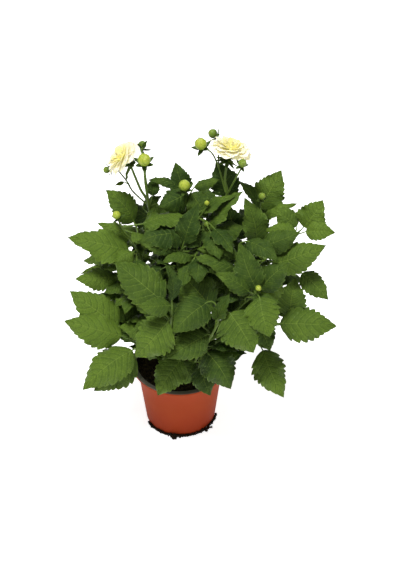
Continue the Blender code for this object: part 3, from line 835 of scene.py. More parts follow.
SHOOTS: tuple[Shoot, ...] = (
    Shoot(
        "shoot_left_bloom",
        rows(Stem,
             (((-12, 16), (-16, 20, 160), (-24, 28, 240), (-37, 38, 324), (-47.5, 41, 350),
               (-57.5, 45, 378.5)), 3.2, 1.4),
             (((-36, 37, 318), (-38.5, 34, 345), (-40, 27.5, 372), (-40, 23, 392)), 1.9, 1.6),
             (((-37, 38, 322), (-40, 54, 350), (-44, 62, 374), (-45, 64, 386)), 1.2, 0.9),
             (((-38, 39, 326), (-57, 49, 340), (-65, 54, 353), (-78, 62, 366)), 1.1, 0.9)),
        rows(Bud,
             ("bud_left_large", (-39.8, 16.5, 408.2), (0.05, -0.5, 0.85), 7.8, 6, BudColour.YELLOW),
             ("bud_left_turned", (-44.5, 72, 394.5), (0.1, 0.85, 0.25), 5.2, 5, BudColour.GREEN),
             ("bud_left_hidden", (-89.5, 58, 366.5), (-0.8, -0.3, -0.2), 4.3, 5, BudColour.GREEN)),
        rows(Bloom, ("bloom_left", (-67, 45, 393), (-0.68, -0.06, 0.73), 7.0)),
        rows(Leaf,
             (-33, 47, 331, 72, 52, 25, 17, 5), (-45, 43, 319, 18, 24, 29, 15, 25),
             (-26, 40, 328, 219, -48, 51, 15, -20), (-68, 50, 354, 195, -15, 12, 6, -20),
             (-65, 51, 357, 35, 66, 21, 11, -20)),
    ),
    Shoot(
        "shoot_right_bloom",
        rows(Stem,
             (((20, 16), (28, 20, 160), (42, 30, 250), (60, 41, 334), (58, 46, 360), (60.5, 51, 382)),
               3.2, 1.5),
             (((60, 41, 338), (67, 35, 360), (74, 27, 382), (77, 22.5, 392.5)), 1.3, 1.0),
             (((59, 42, 344), (51, 54, 370), (44, 59, 387), (38, 61.5, 393)), 1.2, 0.9),
             (((51, 54, 370), (50, 69, 381), (50.5, 80, 392)), 1.0, 0.9)),
        rows(Bud,
             ("bud_right_yellow", (28, 58, 404.5), (-0.2, -0.45, 0.85), 7.5, 5, BudColour.YELLOW),
             ("bud_right_green", (43, 83, 404), (-0.6, 0.1, 0.45), 5.8, 5, BudColour.GREEN),
             ("bud_right_side", (78.2, 18, 402.2), (0.2, -0.5, 0.8), 5.2, 5, BudColour.GREEN)),
        rows(Bloom, ("bloom_right", (64.5, 53, 399), (0.28, 0.12, 0.95), 13.0)),
        rows(Leaf,
             (62, 50, 333, 138, 71, 47, 36, -35), (61, 50, 331, 65, 65, 38, 22, 10),
             (33, 15, 308, 25, 45, 68, 34, 0), (27, 20, 329, 20, 30, 50, 22, 5),
             (75, 30, 287, 145, 50, 40, 31, -35)),
    ),
    Shoot(
        "shoot_centre_bud",
        rows(Stem,
             (((4, 22), (6, 28, 180), (9, 36, 270), (11, 41, 335), (9, 38, 346)), 3.0, 1.2),
             (((9, 36, 290), (22, 18, 316), (32, 13, 336)), 1.0, 0.8)),
        rows(Bud,
             ("bud_centre", (8, 32, 361), (-0.1, -0.3, 0.95), 7.0, 5, BudColour.YELLOW),
             ("bud_centre_small", (35.5, 14, 347), (0, -0.2, 1), 3.1, 4, BudColour.YELLOW)),
        (),
        rows(Leaf,
             (8, 55, 335, 127, 61, 40, 27, -25), (2, 50, 345, 180, 18, 42, 15, -20),
             (20, 50, 346, 10, 25, 35, 16, 35), (12, 40, 344, 215, -5, 44, 32, -40),
             (16, 40, 344, 320, -28, 36, 30, 35)),
    ),
    Shoot(
        "shoot_left_bud",
        rows(Stem,
             (((-26, 2), (-32, 2, 160), (-43, 1, 250), (-55, 4, 291), (-65, 5, 308), (-72, 5, 322)),
               3.0, 1.1)),
        rows(Bud, ("bud_left_low", (-75.5, 4, 336), (-0.3, -0.3, 0.9), 5.2, 5, BudColour.YELLOW)),
        (),
        rows(Leaf,
             (-56, 26, 310, 172, 54, 56, 36, -40), (-62, 0, 284, 189, 23, 80, 45, -30),
             (-62, 15, 290, 170, 35, 45, 26, -20), (-56, -15, 293, 200, -20, 30, 20, -30),
             (-79, -10, 250, 190, 5, 52, 30, -40), (-87, 25, 240, 200, 0, 42, 15, -15)),
    ),
    Shoot(
        "shoot_right_bud",
        rows(Stem,
             (((32, 4), (46, 10, 160), (72, 22, 232), (98, 36, 300), (102.5, 33, 333)), 3.2, 1.0),
             (((56, 14, 190), (98, 8, 250), (130, 8, 285), (153, 12, 307)), 1.8, 1.1)),
        rows(Bud, ("bud_right_high", (104, 30, 346), (0.1, -0.3, 0.95), 4.6, 5, BudColour.GREEN)),
        (),
        rows(Leaf,
             (104, 53, 311, 38, 54, 56, 42, 35), (102, 45, 311, 160, 55, 53, 24, 0),
             (107, 40, 307, 5, 25, 47, 17, 15), (99, 10, 290, 140, 70, 62, 34, -30),
             (157, 19, 307, 24, 60, 42, 38, 40), (159, 9, 307, 350, 5, 37, 25, 45),
             (149, 21, 307, 150, 30, 36, 28, -40), (148, 8, 305, 175, 5, 41, 24, -40),
             (117, -15, 274, 0, 25, 72, 40, 45), (156, -10, 256, 330, -35, 48, 29, 35)),
    ),
    Shoot(
        "shoot_front_right",
        rows(Stem,
             (((26, -14), (40, -26, 150), (64, -42, 210), (94, -56, 260), (97, -61, 268)), 3.0, 1.1),
             (((42, -28, 154), (80, -44, 182), (110, -50, 197), (127, -49, 206)), 1.8, 1.1)),
        rows(Bud, ("bud_front_right", (98, -66, 277), (0, -0.5, 0.85), 3.7, 5, BudColour.YELLOW)),
        (),
        rows(Leaf,
             (104, -10, 299, 5, 22, 50, 30, 45), (84, -15, 310, 335, -5, 50, 26, 20),
             (96, -55, 268, 130, 65, 60, 34, -35), (101, -55, 265, 15, 45, 50, 34, 45),
             (90, -65, 270, 345, 0, 36, 18, 5), (88, -60, 266, 180, 35, 52, 24, -45),
             (72, -20, 297, 185, 15, 51, 25, -40), (72, -40, 286, 185, 25, 58, 23, -20),
             (99, -75, 266, 291, -45, 50, 43, 15), (141, -38, 220, 75, 58, 50, 39, 15),
             (128, -50, 207, 350, 5, 72, 44, 45), (107, -62, 172, 302, -40, 66, 42, 20),
             (100, -50, 204, 305, -40, 36, 32, 30)),
    ),
    Shoot(
        "shoot_centre_tip",
        rows(Stem,
             (((0, -4), (2, -8, 180), (0, -16, 260), (-1, -20, 296)), 3.0, 1.4),
             (((1, -13, 240), (22, -6, 280), (34, 3, 314)), 1.0, 0.8)),
        rows(Bud, ("bud_centre_closed", (35, 2, 323), (0, -0.3, 0.9), 3.2, 4, BudColour.GREEN)),
        (),
        rows(Leaf,
             (-5, -20, 300, 175, 15, 47, 21, -25), (17, -25, 295, 210, 10, 42, 20, -10),
             (10, -15, 303, 15, 25, 36, 18, 10), (7, -15, 307, 40, 65, 54, 30, 30),
             (-1, -25, 307, 145, 70, 25, 13, -20), (3, -5, 295, 140, 35, 42, 34, -35)),
    ),
    Shoot(
        "shoot_front_left",
        rows(Stem,
             (((-8, -26), (-10, -46, 150), (-9, -68, 215), (-7, -80, 256)), 3.0, 1.3),
             (((-9, -40, 132), (-34, -52, 160), (-62, -55, 182)), 1.8, 1.1)),
        (),
        (),
        rows(Leaf,
             (-77, -40, 195, 165, 35, 76, 46, -40), (-72, -55, 190, 180, 20, 76, 44, -40),
             (-58, -75, 184, 215, -20, 80, 46, -30), (-56, -60, 157, 215, -20, 68, 44, -30),
             (-18, -70, 259, 145, 22, 80, 48, -35), (-12, -90, 244, 200, -45, 63, 48, -45),
             (-8, -85, 266, 200, 15, 42, 24, -40), (-7, -85, 266, 115, 75, 47, 22, 20),
             (-17, -60, 218, 200, 5, 40, 30, -40)),
    ),
    Shoot(
        "shoot_front_tip",
        rows(Stem, (((12, -26), (22, -42, 140), (38, -64, 190), (49, -80, 233)), 3.0, 1.3)),
        (),
        (),
        rows(Leaf,
             (42, -60, 241, 150, 40, 64, 48, -40), (37, -70, 259, 215, -25, 58, 42, -40),
             (37, -75, 211, 210, -12, 62, 38, -40), (3, -70, 163, 220, -45, 56, 40, -35),
             (36, -70, 176, 315, -40, 56, 46, 30), (27, -65, 147, 305, -55, 42, 30, 20),
             (19, -55, 145, 225, -60, 34, 28, -30), (63, -85, 254, 314, -42, 57, 54, 30),
             (50, -85, 244, 25, 70, 38, 18, 20), (48, -88, 247, 190, 65, 28, 12, -40)),
    ),
)


def far_side_leaves() -> list[Leaf]:
    """Draws the leaves of the far side, which fill out the bush by rule.

    Returns:
        The leaves as planned.
    """
    rng = random.Random(13)
    belts = (
        # blade base height, reach from the bush's middle, count, first and last heading, rise, length
        (150, 54, 4, 25, 155, -30, 72),
        (198, 68, 5, -5, 185, -15, 78),
        (248, 72, 5, 5, 175, -5, 76),
        (288, 62, 3, 35, 145, 15, 66),
    )
    found = []
    for z, reach, count, first, last, rise, length in belts:
        for i in range(count):
            heading = first + (last - first) * i / (count - 1) + rng.uniform(-8, 8)
            away = heading_vector(heading, 0) * (reach + rng.uniform(-6, 6))
            size = length * rng.uniform(0.88, 1.12)
            found.append(Leaf(25 + away.x, 12 + away.y, z + rng.uniform(-10, 10), heading,
                              rise + rng.uniform(-8, 8), size, size * 0.6, rng.uniform(-12, 12)))
    return found


def bends() -> list[Bend]:
    """Every bend that a leaf may have, the smallest first."""
    steps = itertools.product(range(-30, 31, 6), range(-24, 25, 8), range(-12, 13, 4))
    return sorted((Bend(*step) for step in steps),
                  key=lambda bend: abs(bend.rise) / 6 + abs(bend.heading) / 8 + abs(bend.lift) / 4)


@dataclass(frozen=True)
class GrownLeaf:
    """A leaf as it stands, with the points of its stalk, and whether it is far back or deep inside."""

    leaf: Leaf
    bend: Bend
    stalk: tuple[Vector, ...]
    far: bool


class Growth:
    """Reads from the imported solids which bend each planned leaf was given."""

    tolerance = 0.15

    def __init__(self, nodes: dict[str, bpy.types.Object]) -> None:
        """Makes a tree of corners for each shoot.

        Args:
            nodes: The CAD nodes by name.
        """
        self.lines = {shoot.name: shoot.lines() for shoot in SHOOTS}
        self.choices = bends()
        self.trees = {}
        for shoot in SHOOTS:
            corners = nodes[shoot.name].data.vertices
            tree = KDTree(len(corners))
            for i, corner in enumerate(corners):
                tree.insert(corner.co, i)
            tree.balance()
            self.trees[shoot.name] = tree

    def misfit(self, shoot: Shoot, leaf: Leaf, bend: Bend) -> float:
        """How badly a bent leaf fits the solid.

        Args:
            shoot: The leaf's shoot.
            leaf: The planned leaf.
            bend: The bend on trial.

        Returns:
            The middle distance from its tip and tooth points to the solid's corners, in millimetres.
        """
        axes = leaf.axes(bend)
        teeth = graded(leaf.length, ((60, 3), (25, 2)), 1)
        segments = 2 * teeth + 1
        points = [leaf.point(axes, 1.0, 0)]
        for station in range(1, segments, 2):
            a = (station + 0.3) / segments
            points += [leaf.point(axes, a, side, leaf.tooth_out) for side in (-1, 1)]
        gaps = sorted(self.trees[shoot.name].find(point * MM)[2] / MM for point in points)
        return gaps[len(gaps) // 2]

    def bend_of(self, shoot: Shoot, leaf: Leaf) -> Bend | None:
        """Finds the bend whose leaf is in the solid.

        Args:
            shoot: The leaf's shoot.
            leaf: The planned leaf.

        Returns:
            The bend, or None where the leaf wasn't grown.
        """
        for bend in self.choices:
            if self.misfit(shoot, leaf, bend) < self.tolerance:
                return bend
        return None

    def nearest_shoot(self, leaf: Leaf) -> Shoot:
        """The shoot with a stem nearest behind a leaf."""
        behind = Vector((leaf.x, leaf.y, leaf.z)) - heading_vector(leaf.heading, leaf.rise) * 30
        return min(SHOOTS, key=lambda shoot: min((place - behind).length
                                                 for line in self.lines[shoot.name] for place in line))

    def leaves(self) -> dict[str, list[GrownLeaf]]:
        """Finds every leaf that was grown.

        Returns:
            The leaves by their shoot's name.
        """
        planned = [(leaf, shoot, False) for shoot in SHOOTS for leaf in shoot.leaves]
        planned += [(leaf, self.nearest_shoot(leaf), True) for leaf in far_side_leaves()]
        found: dict[str, list[GrownLeaf]] = {shoot.name: [] for shoot in SHOOTS}
        for leaf, shoot, far in planned:
            bend = self.bend_of(shoot, leaf)
            if bend is None:
                LOG.info("%s: the leaf planned at %.0f %.0f %.0f was not grown",
                         shoot.name, leaf.x, leaf.y, leaf.z)
                continue
            stalk = shoot.stalk(leaf, bend, self.lines[shoot.name])
            found[shoot.name].append(GrownLeaf(leaf, bend, tuple(stalk), far))
        return found


@dataclass
class InnerLeaves:
    """Smaller leaves that close the bush's inside.

    Each is tried as a plain blade, without teeth and waves, against the plain blades, stems and stalks
    before it. Fine blades may still cross where leaves crowd.
    """

    grown: dict[str, list[GrownLeaf]]
    lines: dict[str, list[list[Vector]]]
    count: int = 185
    tries: int = 60000
    middle: Vector = field(default_factory=lambda: Vector((20, 6, 228)))
    reach: Vector = field(default_factory=lambda: Vector((134, 108, 108)))
    lowest: float = 104.0
    open_share: float = 0.2
    # headings and rises along which gaps are looked for, most often along the camera's
    views: tuple[tuple[float, float], ...] = (
        (90, -39), (90, -39), (90, -39), (40, -30), (140, -30), (270, -30))
    stem_room: float = 2.2
    stalk_room: float = 1.2
    new_stalk_room: float = 1.0

    # places on a blade, as shares along and across it
    edge_places = ((0, 0), (0.4, -1), (0.4, 1), (0.8, 0), (1, 0))
    sight_places = ((0.2, 0), (0.4, -0.6), (0.4, 0.6), (0.6, 0), (0.85, 0))

    def __post_init__(self) -> None:
        """Starts the trees of blades and stems."""
        self.rng = random.Random(4)
        grown = [leaf for leaves in self.grown.values() for leaf in leaves]
        self.blades = [self.blade_tree(one.leaf, one.bend) for one in grown]
        lines = [line for lines in self.lines.values() for line in lines]
        self.stems = [self.rod_tree(line, self.stem_room) for line in lines]
        self.stems += [self.rod_tree(one.stalk, self.stalk_room) for one in grown]

    @staticmethod
    def blade_tree(leaf: Leaf, bend: Bend) -> BVHTree:
        """Makes a coarse tree of a blade's faces, in millimetres.

        Args:
            leaf: The leaf.
            bend: How it is bent.

        Returns:
            The tree.
        """
        bm = bmesh.new()
        bmesh.ops.create_grid(bm, x_segments=6, y_segments=4, size=1.0)
        axes = leaf.axes(bend)
        for vert in bm.verts:
            vert.co = leaf.point(axes, (vert.co.x + 1) / 2, vert.co.y)
        found = BVHTree.FromBMesh(bm)
        bm.free()
        return found

    @staticmethod
    def rod_tree(line: Sequence[Vector], radius: float) -> BVHTree:
        """Makes a coarse tree of a stem's or a stalk's faces, in millimetres.

        Args:
            line: Its points.
            radius: How much room it takes round them.

        Returns:
            The tree.
        """
        bm = bmesh.new()
        add_tube(bm, [place.copy() for place in line], [radius] * len(line), 4)
        for vert in bm.verts:
            vert.co /= MM
        found = BVHTree.FromBMesh(bm)
        bm.free()
        return found

    def draw(self) -> tuple[Shoot, Leaf]:
        """Draws a leaf near a place on a stem.

        Returns:
            The shoot and the leaf.
        """
        rng = self.rng
        shoot = rng.choice(SHOOTS)
        line = rng.choice(self.lines[shoot.name])
        step = rng.randrange(len(line) - 1)
        root = line[step].lerp(line[step + 1], rng.random())
        heading = rng.uniform(0, 360)
        rise = rng.uniform(-30, 45)
        length = rng.uniform(28, 60)
        base = root + heading_vector(heading, rise) * rng.uniform(8, 40)
        width = length * rng.uniform(0.58, 0.72)
        return shoot, Leaf(*base, heading, rise, length, width, rng.uniform(-25, 25))

    def inside(self, leaf: Leaf) -> bool:
        """Tells whether a leaf stays within the bush.

        Args:
            leaf: The leaf.

        Returns:
            True where its base, its tip and its sides all do.
        """
        axes = leaf.axes(Bend())
        for a, b in self.edge_places:
            place = leaf.point(axes, a, b)
            off = place - self.middle
            share = Vector((off.x / self.reach.x, off.y / self.reach.y, off.z / self.reach.z))
            if share.length > 1 or place.z < self.lowest:
                return False
        return True

    def open_at(self, leaf: Leaf) -> float:
        """Measures how much a leaf would close, seen along one of the views.

        Args:
            leaf: The leaf.

        Returns:
            The share of its places where one can see right through the bush.
        """
        heading, rise = self.rng.choice(self.views)
        ahead = heading_vector(heading, rise)
        axes = leaf.axes(Bend())
        places = [leaf.point(axes, a, b) for a, b in self.sight_places]
        clear = [place for place in places if not any(
            tree.ray_cast(place, way)[0] for tree in self.blades for way in (ahead, -ahead))]
        return len(clear) / len(places)

    def grow(self) -> None:
        """Adds the leaves to their shoots."""
        added = 0
        for _ in range(self.tries):
            if added == self.count:
                break
            shoot, leaf = self.draw()
            if not self.inside(leaf):
                continue
            blade = self.blade_tree(leaf, Bend())
            if any(tree.overlap(blade) for tree in (*self.blades, *self.stems)):
                continue
            stalk = shoot.stalk(leaf, Bend(), self.lines[shoot.name])
            rod = self.rod_tree(stalk, self.new_stalk_room)
            if any(tree.overlap(rod) for tree in self.blades) or self.open_at(leaf) < self.open_share:
                continue
            self.blades.append(blade)
            self.stems.append(rod)
            self.grown[shoot.name].append(GrownLeaf(leaf, Bend(), tuple(stalk), True))
            added += 1
        LOG.info("inner leaves: %d", added)


# Leafy shoots

# Buds whose lower bracts stand out as a star.
STAR_BUDS = ("bud_left_turned", "bud_left_hidden")
# Shoots whose smaller leaves are darker.
DARK_SMALL_LEAF_SHOOTS = ("shoot_front_right", "shoot_centre_tip", "shoot_right_bloom", "shoot_centre_bud")


@dataclass
class Blade:
    """The fine blade of a grown leaf: a saw edge, sunken veins, a quilted face and a waved margin."""

    grown: GrownLeaf
    seed: str
    tooth_depth: float = 0.15
    columns: tuple[float, ...] = (
        -1, -0.9, -0.74, -0.52, -0.28, -0.08, 0, 0.08, 0.28, 0.52, 0.74, 0.9, 1)
    middle: tuple[float, float] = (25.0, 0.0)

    # one tooth: shares of its step, and how far out each stands
    tooth = ((0.0, 0.0), (0.3, 0.5), (0.62, 0.85), (0.88, 1.0))
    # teeth to a side, by the leaf's length
    counts = ((50, 8), (38, 7), (24, 6))
    first_tooth, last_tooth = 0.1, 0.97

    def __post_init__(self) -> None:
        """Draws what differs from leaf to leaf."""
        rng = random.Random(self.seed)
        leaf = self.grown.leaf
        self.axes = leaf.axes(self.grown.bend)
        self.phase = rng.uniform(0, 1)
        self.waves = rng.uniform(1.6, 3.0)
        self.ruffle = leaf.width * rng.uniform(0.05, 0.11)
        self.cup = rng.uniform(0.0, 0.3) if leaf.rise > 45 else rng.uniform(-0.55, -0.05)
        self.keel = rng.uniform(-0.12, 0.2)
        self.sway = rng.uniform(-0.05, 0.05)
        # Painted light and shade: leaves far from the bush's middle are lighter, as lit, and upright,
        # far-back and inner leaves are darker, as in shade. The rest is the leaf's own tone, drawn at
        # random, and smaller leaves of the listed shoots are darker.
        outer = smooth_step(45, 115, math.hypot(leaf.x - self.middle[0], 0.7 * (leaf.y - self.middle[1])))
        upright = smooth_step(20, 60, leaf.rise)
        small_dark = 0.14 if self.seed.startswith(DARK_SMALL_LEAF_SHOOTS) and leaf.length < 61 else 0.0
        tone_and_shade = 0.4 + rng.uniform(-0.27, 0.27) + 0.5 * outer - 0.24 * upright - small_dark - 0.15 * self.grown.far
        self.tone_and_shade = min(max(tone_and_shade, 0.0), 1.0)
        self.saw = self.draw_saw(rng)

    def draw_saw(self, rng: random.Random) -> dict[float, float]:
        """Draws the teeth of the margin.

        Args:
            rng: Draws their widths and sizes.

        Returns:
            How far out the margin stands at each share of the blade's length.
        """
        count = graded(self.grown.leaf.length, self.counts, 4)
        saw = {0.0: 0.0, 0.012: 0.0, 0.05: 0.0}
        widths = [rng.uniform(0.7, 1.3) * (1.15 - 0.4 * i / count) for i in range(count)]
        at = self.first_tooth
        for width in widths:
            step = (self.last_tooth - self.first_tooth) * width / sum(widths)
            jag = rng.uniform(0.7, 1.25)
            for phase, out in self.tooth:
                saw[at + step * phase] = out * jag
            at += step
        return saw | {self.last_tooth: 0.0, 1.0: 0.0}

    def surface(self, a: float, b: float) -> Vector:
        """The middle of the blade's thickness.

        Args:
            a: Share of the length, one of the saw's.
            b: From -1 at one margin to 1 at the other.

        Returns:
            The place in millimetres.
        """
        if a == 0.0:
            return self.axes[0].copy()
        leaf = self.grown.leaf
        up = self.axes[3]
        out = abs(b)
        edge = smooth_step(0.5, 1.0, out)
        forward = 0.004 * self.saw[a] * edge
        scale = 1 + edge * self.tooth_depth * (self.saw[a] - 0.5) * smooth_step(0.0, 0.09, a)
        place = leaf.point(self.axes, min(a + forward, 1.0), b, scale)
        half = leaf.half(a)
        lane = (a - VEIN_SWEEP * out ** VEIN_CURVE - VEIN_START) / VEIN_STEP
        bulge = 1 - math.exp(-(ping_pong(lane) / 0.17) ** 2)
        quilt = 0.8 * bulge * (1 - out ** 3) * smooth_step(0.0, 0.25, out)
        groove = -0.35 * math.exp(-(out * half / 1.3) ** 2)
        wave = self.ruffle * out ** 3 * math.sin(math.tau * (a * self.waves + self.phase) + (b > 0) * 2.1)
        wave *= smooth_step(0.0, 0.25, a) * smooth_step(1.0, 0.8, a)
        cup = half * (self.cup * b * b + self.keel * out)
        return place + up * (quilt + groove + wave + cup) + self.bow(a)

    def bow(self, a: float) -> Vector:
        """Works out how the midrib bows away from the plain blade's.

        Args:
            a: Share of the length.

        Returns:
            How far it moves there, in millimetres.
        """
        length = self.grown.leaf.length
        sway = self.sway * length * math.sin(math.pi * a)
        return self.axes[2] * sway - self.axes[3] * 0.05 * length * a ** 5

    def add(self, bm: BMesh) -> None:
        """Adds the blade to a mesh."""
        notes = {"tone_and_shade": lambda a, b, under: self.tone_and_shade, "under": lambda a, b, under: float(under)}
        Sheet(sorted(self.saw), self.columns, self.surface, lambda a, b: 0.5 - 0.25 * abs(b),
              self.axes[3], notes).add(bm)


@dataclass
class Bract:
    """A small green bract that leaves a cup at a slope from its axis, in degrees."""

    base: Vector
    turn: Matrix
    around: float
    slope: float
    length: float
    width: float
    tone_and_shade: float

    stations = (0.0, 0.12, 0.25, 0.4, 0.55, 0.7, 0.82, 0.92, 1.0)
    columns = (-1, -0.6, 0, 0.6, 1)

    def add(self, bm: BMesh) -> None:
        """Adds the bract to a mesh.

        Args:
            bm: Mesh that takes it.
        """
        turn = self.turn.to_3x3() @ Matrix.Rotation(self.around, 3, "Z")
        slope = math.radians(self.slope)
        along = turn @ Vector((0, -math.sin(slope), math.cos(slope)))
        across = turn @ Vector((1, 0, 0))
        up = across.cross(along)
        half = self.width / 2

        def surface(a: float, b: float) -> Vector:
            """A rounded blade that curls back a little at its tip.

            Args:
                a: Share of the length.
                b: From -1 at one edge to 1 at the other.

            Returns:
                The place in millimetres.
            """
            wide = half * min(1.0, 0.55 + 1.4 * a) * (1 - a ** 2.4) ** 0.75
            lift = 0.25 * half * b * b - self.length * 0.18 * a * a
            return self.base + along * self.length * a + across * wide * b + up * lift

        notes = {"tone_and_shade": lambda a, b, under: self.tone_and_shade, "under": lambda a, b, under: 0.4 * under}
        Sheet(self.stations, self.columns, surface, lambda a, b: 0.9 * (1 - 0.6 * a), up, notes).add(bm)


@dataclass
class LeafyShoot:
    """Everything green on one shoot: blades and bracts in one piece, stems and stalks in another."""

    shoot: Shoot
    leaves: list[GrownLeaf]
    leaf_look: Material
    stem_look: Material
    stem_sides: int = 14
    stalk_sides: int = 8
    knot_step: float = 4.0
    gap: float = 0.3
    bloom_bracts: int = 8
    bloom_bract_width: float = 7.5

    # radii and depth of a bloom's cup
    bloom_cup = (2.2, 6.5, 3.2)
    # slopes of the spread bracts, by turns, and of those between them
    bud_slopes = (86, 68, 42)
    bloom_slopes = (104, 84, 128)
    # shares of the blade at which its midrib passes, and how far under its face, in stalk radii
    midrib = ((0.12, 0.9), (0.3, 0.85), (0.5, 0.7), (0.72, 0.55))

    def build(self) -> None:
        """Makes the shoot's two pieces."""
        bm = bmesh.new()
        blades = [Blade(grown, f"{self.shoot.name}{i}") for i, grown in enumerate(self.leaves)]
        for blade in blades:
            blade.add(bm)
        for bract in self.bracts():
            bract.add(bm)
        part = self.shoot.name.replace("shoot_", "")
        finished(f"leaves_{part}", bm, [self.leaf_look], [self.shoot.name])
        bm = bmesh.new()
        self.add_stems(bm)
        for blade in blades:
            self.add_stalk(bm, blade)
        for bud in self.shoot.buds:
            self.add_cup(bm, bud, bud.radius * 0.3, bud.radius * 0.62, bud.radius * 0.45)
        for bloom in self.shoot.blooms:
            self.add_cup(bm, bloom, *self.bloom_cup)
        finished(f"stems_{part}", bm, [self.stem_look])

    def bracts(self) -> list[Bract]:
        """Plans the bracts: under each bud and bloom a spread ring, and one that stands or hangs.

        Returns:
            The bracts.
        """
        found = []
        for bud in self.shoot.buds:
            radius, axis = bud.radius, Vector(bud.axis).normalized()
            depth = radius * 0.45
            base = bud.below(radius * 0.93 + self.gap + depth * 0.6)
            reach = radius * (2.5 if bud.name in STAR_BUDS else 1.85)
            for i in range(bud.bracts):
                around, half = math.tau * i / bud.bracts, math.pi / bud.bracts
                found.append(Bract(base, bud.turn, around, self.bud_slopes[i % 2],
                                   reach, radius * 0.9, 0.05))
                found.append(Bract(base + axis * depth * 0.5, bud.turn, around + half, self.bud_slopes[2],
                                   radius * 1.1, radius * 0.95, 0.2))
        for bloom in self.shoot.blooms:
            axis = Vector(bloom.axis).normalized()
            base = bloom.below(bloom.depth + self.gap + 2.4)
            size = (bloom.bract * 1.25, self.bloom_bract_width, 0.1)
            for i in range(self.bloom_bracts):
                around, between = (math.tau * (i + half) / self.bloom_bracts for half in (0, 0.5))
                found.append(Bract(base, bloom.turn, around, self.bloom_slopes[i % 2], *size))
                found.append(Bract(base - axis, bloom.turn, between, self.bloom_slopes[2], *size))
        return found

    def steps_for(self, length: float) -> int:
        """How many steps a stretch of stem or stalk takes."""
        return max(2, round(length / self.knot_step))

    def add_stems(self, bm: BMesh) -> None:
        """Adds the stems, thicker at the joints where leaves leave them.

        Args:
            bm: Mesh that takes them.
        """
        for stem in self.shoot.stems:
            line = catmull(self.shoot.knots(stem), self.steps_for)
            radii = []
            for i, place in enumerate(line):
                share = i / (len(line) - 1)
                away = min(((place - grown.stalk[0]).length for grown in self.leaves), default=math.inf)
                joint = math.exp(-(away / 3.5) ** 2)
                radii.append((stem.low + (stem.top - stem.low) * share) * (1 + 0.18 * joint))
            add_tube(bm, line, radii, self.stem_sides)

    def add_stalk(self, bm: BMesh, blade: Blade) -> None:
        """Adds a leaf's stalk, which runs on under the blade as its midrib.

        Args:
            bm: Mesh that takes it.
            blade: The leaf's blade.
        """
        leaf, up = blade.grown.leaf, blade.axes[3]
        size = leaf.stalk_half
        knots = list(blade.grown.stalk)
        if len(knots) == 3:
            knots[1] = knots[1].lerp(knots[0].lerp(knots[2], 0.5), 0.35)
        for a, drop in self.midrib:
            knots.append(leaf.point(blade.axes, a, 0) + blade.bow(a) - up * (drop * size + 0.1))
        line = catmull(knots, self.steps_for)
        base = min(range(len(line)), key=lambda i: (line[i] - blade.grown.stalk[-1]).length)
        radii = []
        for i in range(len(line)):
            past = max(0, i - base) / (len(line) - 1 - base)
            radii.append(size * (0.98 - 0.12 * min(1.0, i / base)) * (1 - 0.72 * past ** 0.8))
        add_tube(bm, line, radii, self.stalk_sides)

    def add_cup(self, bm: BMesh, head: Bud | Bloom, low: float, high: float, depth: float) -> None:
        """Adds the green cup that a bud or bloom sits on.

        Args:
            bm: Mesh that takes it.
            head: The bud or bloom.
            low: The cup's radius where the stem ends.
            high: Its radius at the brim.
            depth: Its depth.
        """
        up = Vector(head.axis).normalized()
        line = [head.seat + up * depth * t for t in (-0.6, -0.2, 0.2, 0.6, 1.0)]
        add_tube(bm, line, [low * 0.8, low, (low + high) / 2, high, high * 0.8], self.stem_sides)


# Buds and blooms

@dataclass
class BudBall:
    """A closed bud of overlapping scales that meet at its crown."""

    bud: Bud
    look: Material
    scales: int = 5
    spiral: float = 0.8

    def build(self) -> None:
        """Makes the bud, its scales wound a little round it."""
        bm = bmesh.new()
        for note in ("groove", "reach"):
            bm.verts.layers.float.new(note)
        groove, reach = (bm.verts.layers.float[note] for note in ("groove", "reach"))
        turn, centre = self.bud.turn, Vector(self.bud.centre)
        for vert in bmesh.ops.create_uvsphere(bm, u_segments=64, v_segments=28, radius=1.0)["verts"]:
            x, y, z = vert.co
            flat = math.hypot(x, y)
            lap = math.atan2(y, x) / math.tau * self.scales + self.spiral * z
            phase = lap - math.floor(lap)
            seam = math.exp(-(ping_pong(lap) / 0.06) ** 2) * smooth_step(0.05, 0.35, flat)
            swell = 1 + 0.07 * (phase - 0.5) * smooth_step(0.0, 0.4, flat) - 0.02 * seam
            swell += 0.05 * smooth_step(0.7, 0.93, z) - 0.16 * smooth_step(0.93, 1.0, z)
            vert[groove] = seam
            vert[reach] = (z + 1) / 2
            vert.co = (centre + turn @ (Vector((x, y, z * 0.95)) * self.bud.radius * swell)) * MM
        finished(self.bud.name + "_ball", bm, [self.look], [self.bud.name])


@dataclass(frozen=True)
class PetalRow:
    """One ring of petals: how many, how far they reach, and how they rise and droop."""

    count: int
    reach: float
    width: float
    lift: float
    slope: float
    droop: float
    offset: float = 0.0


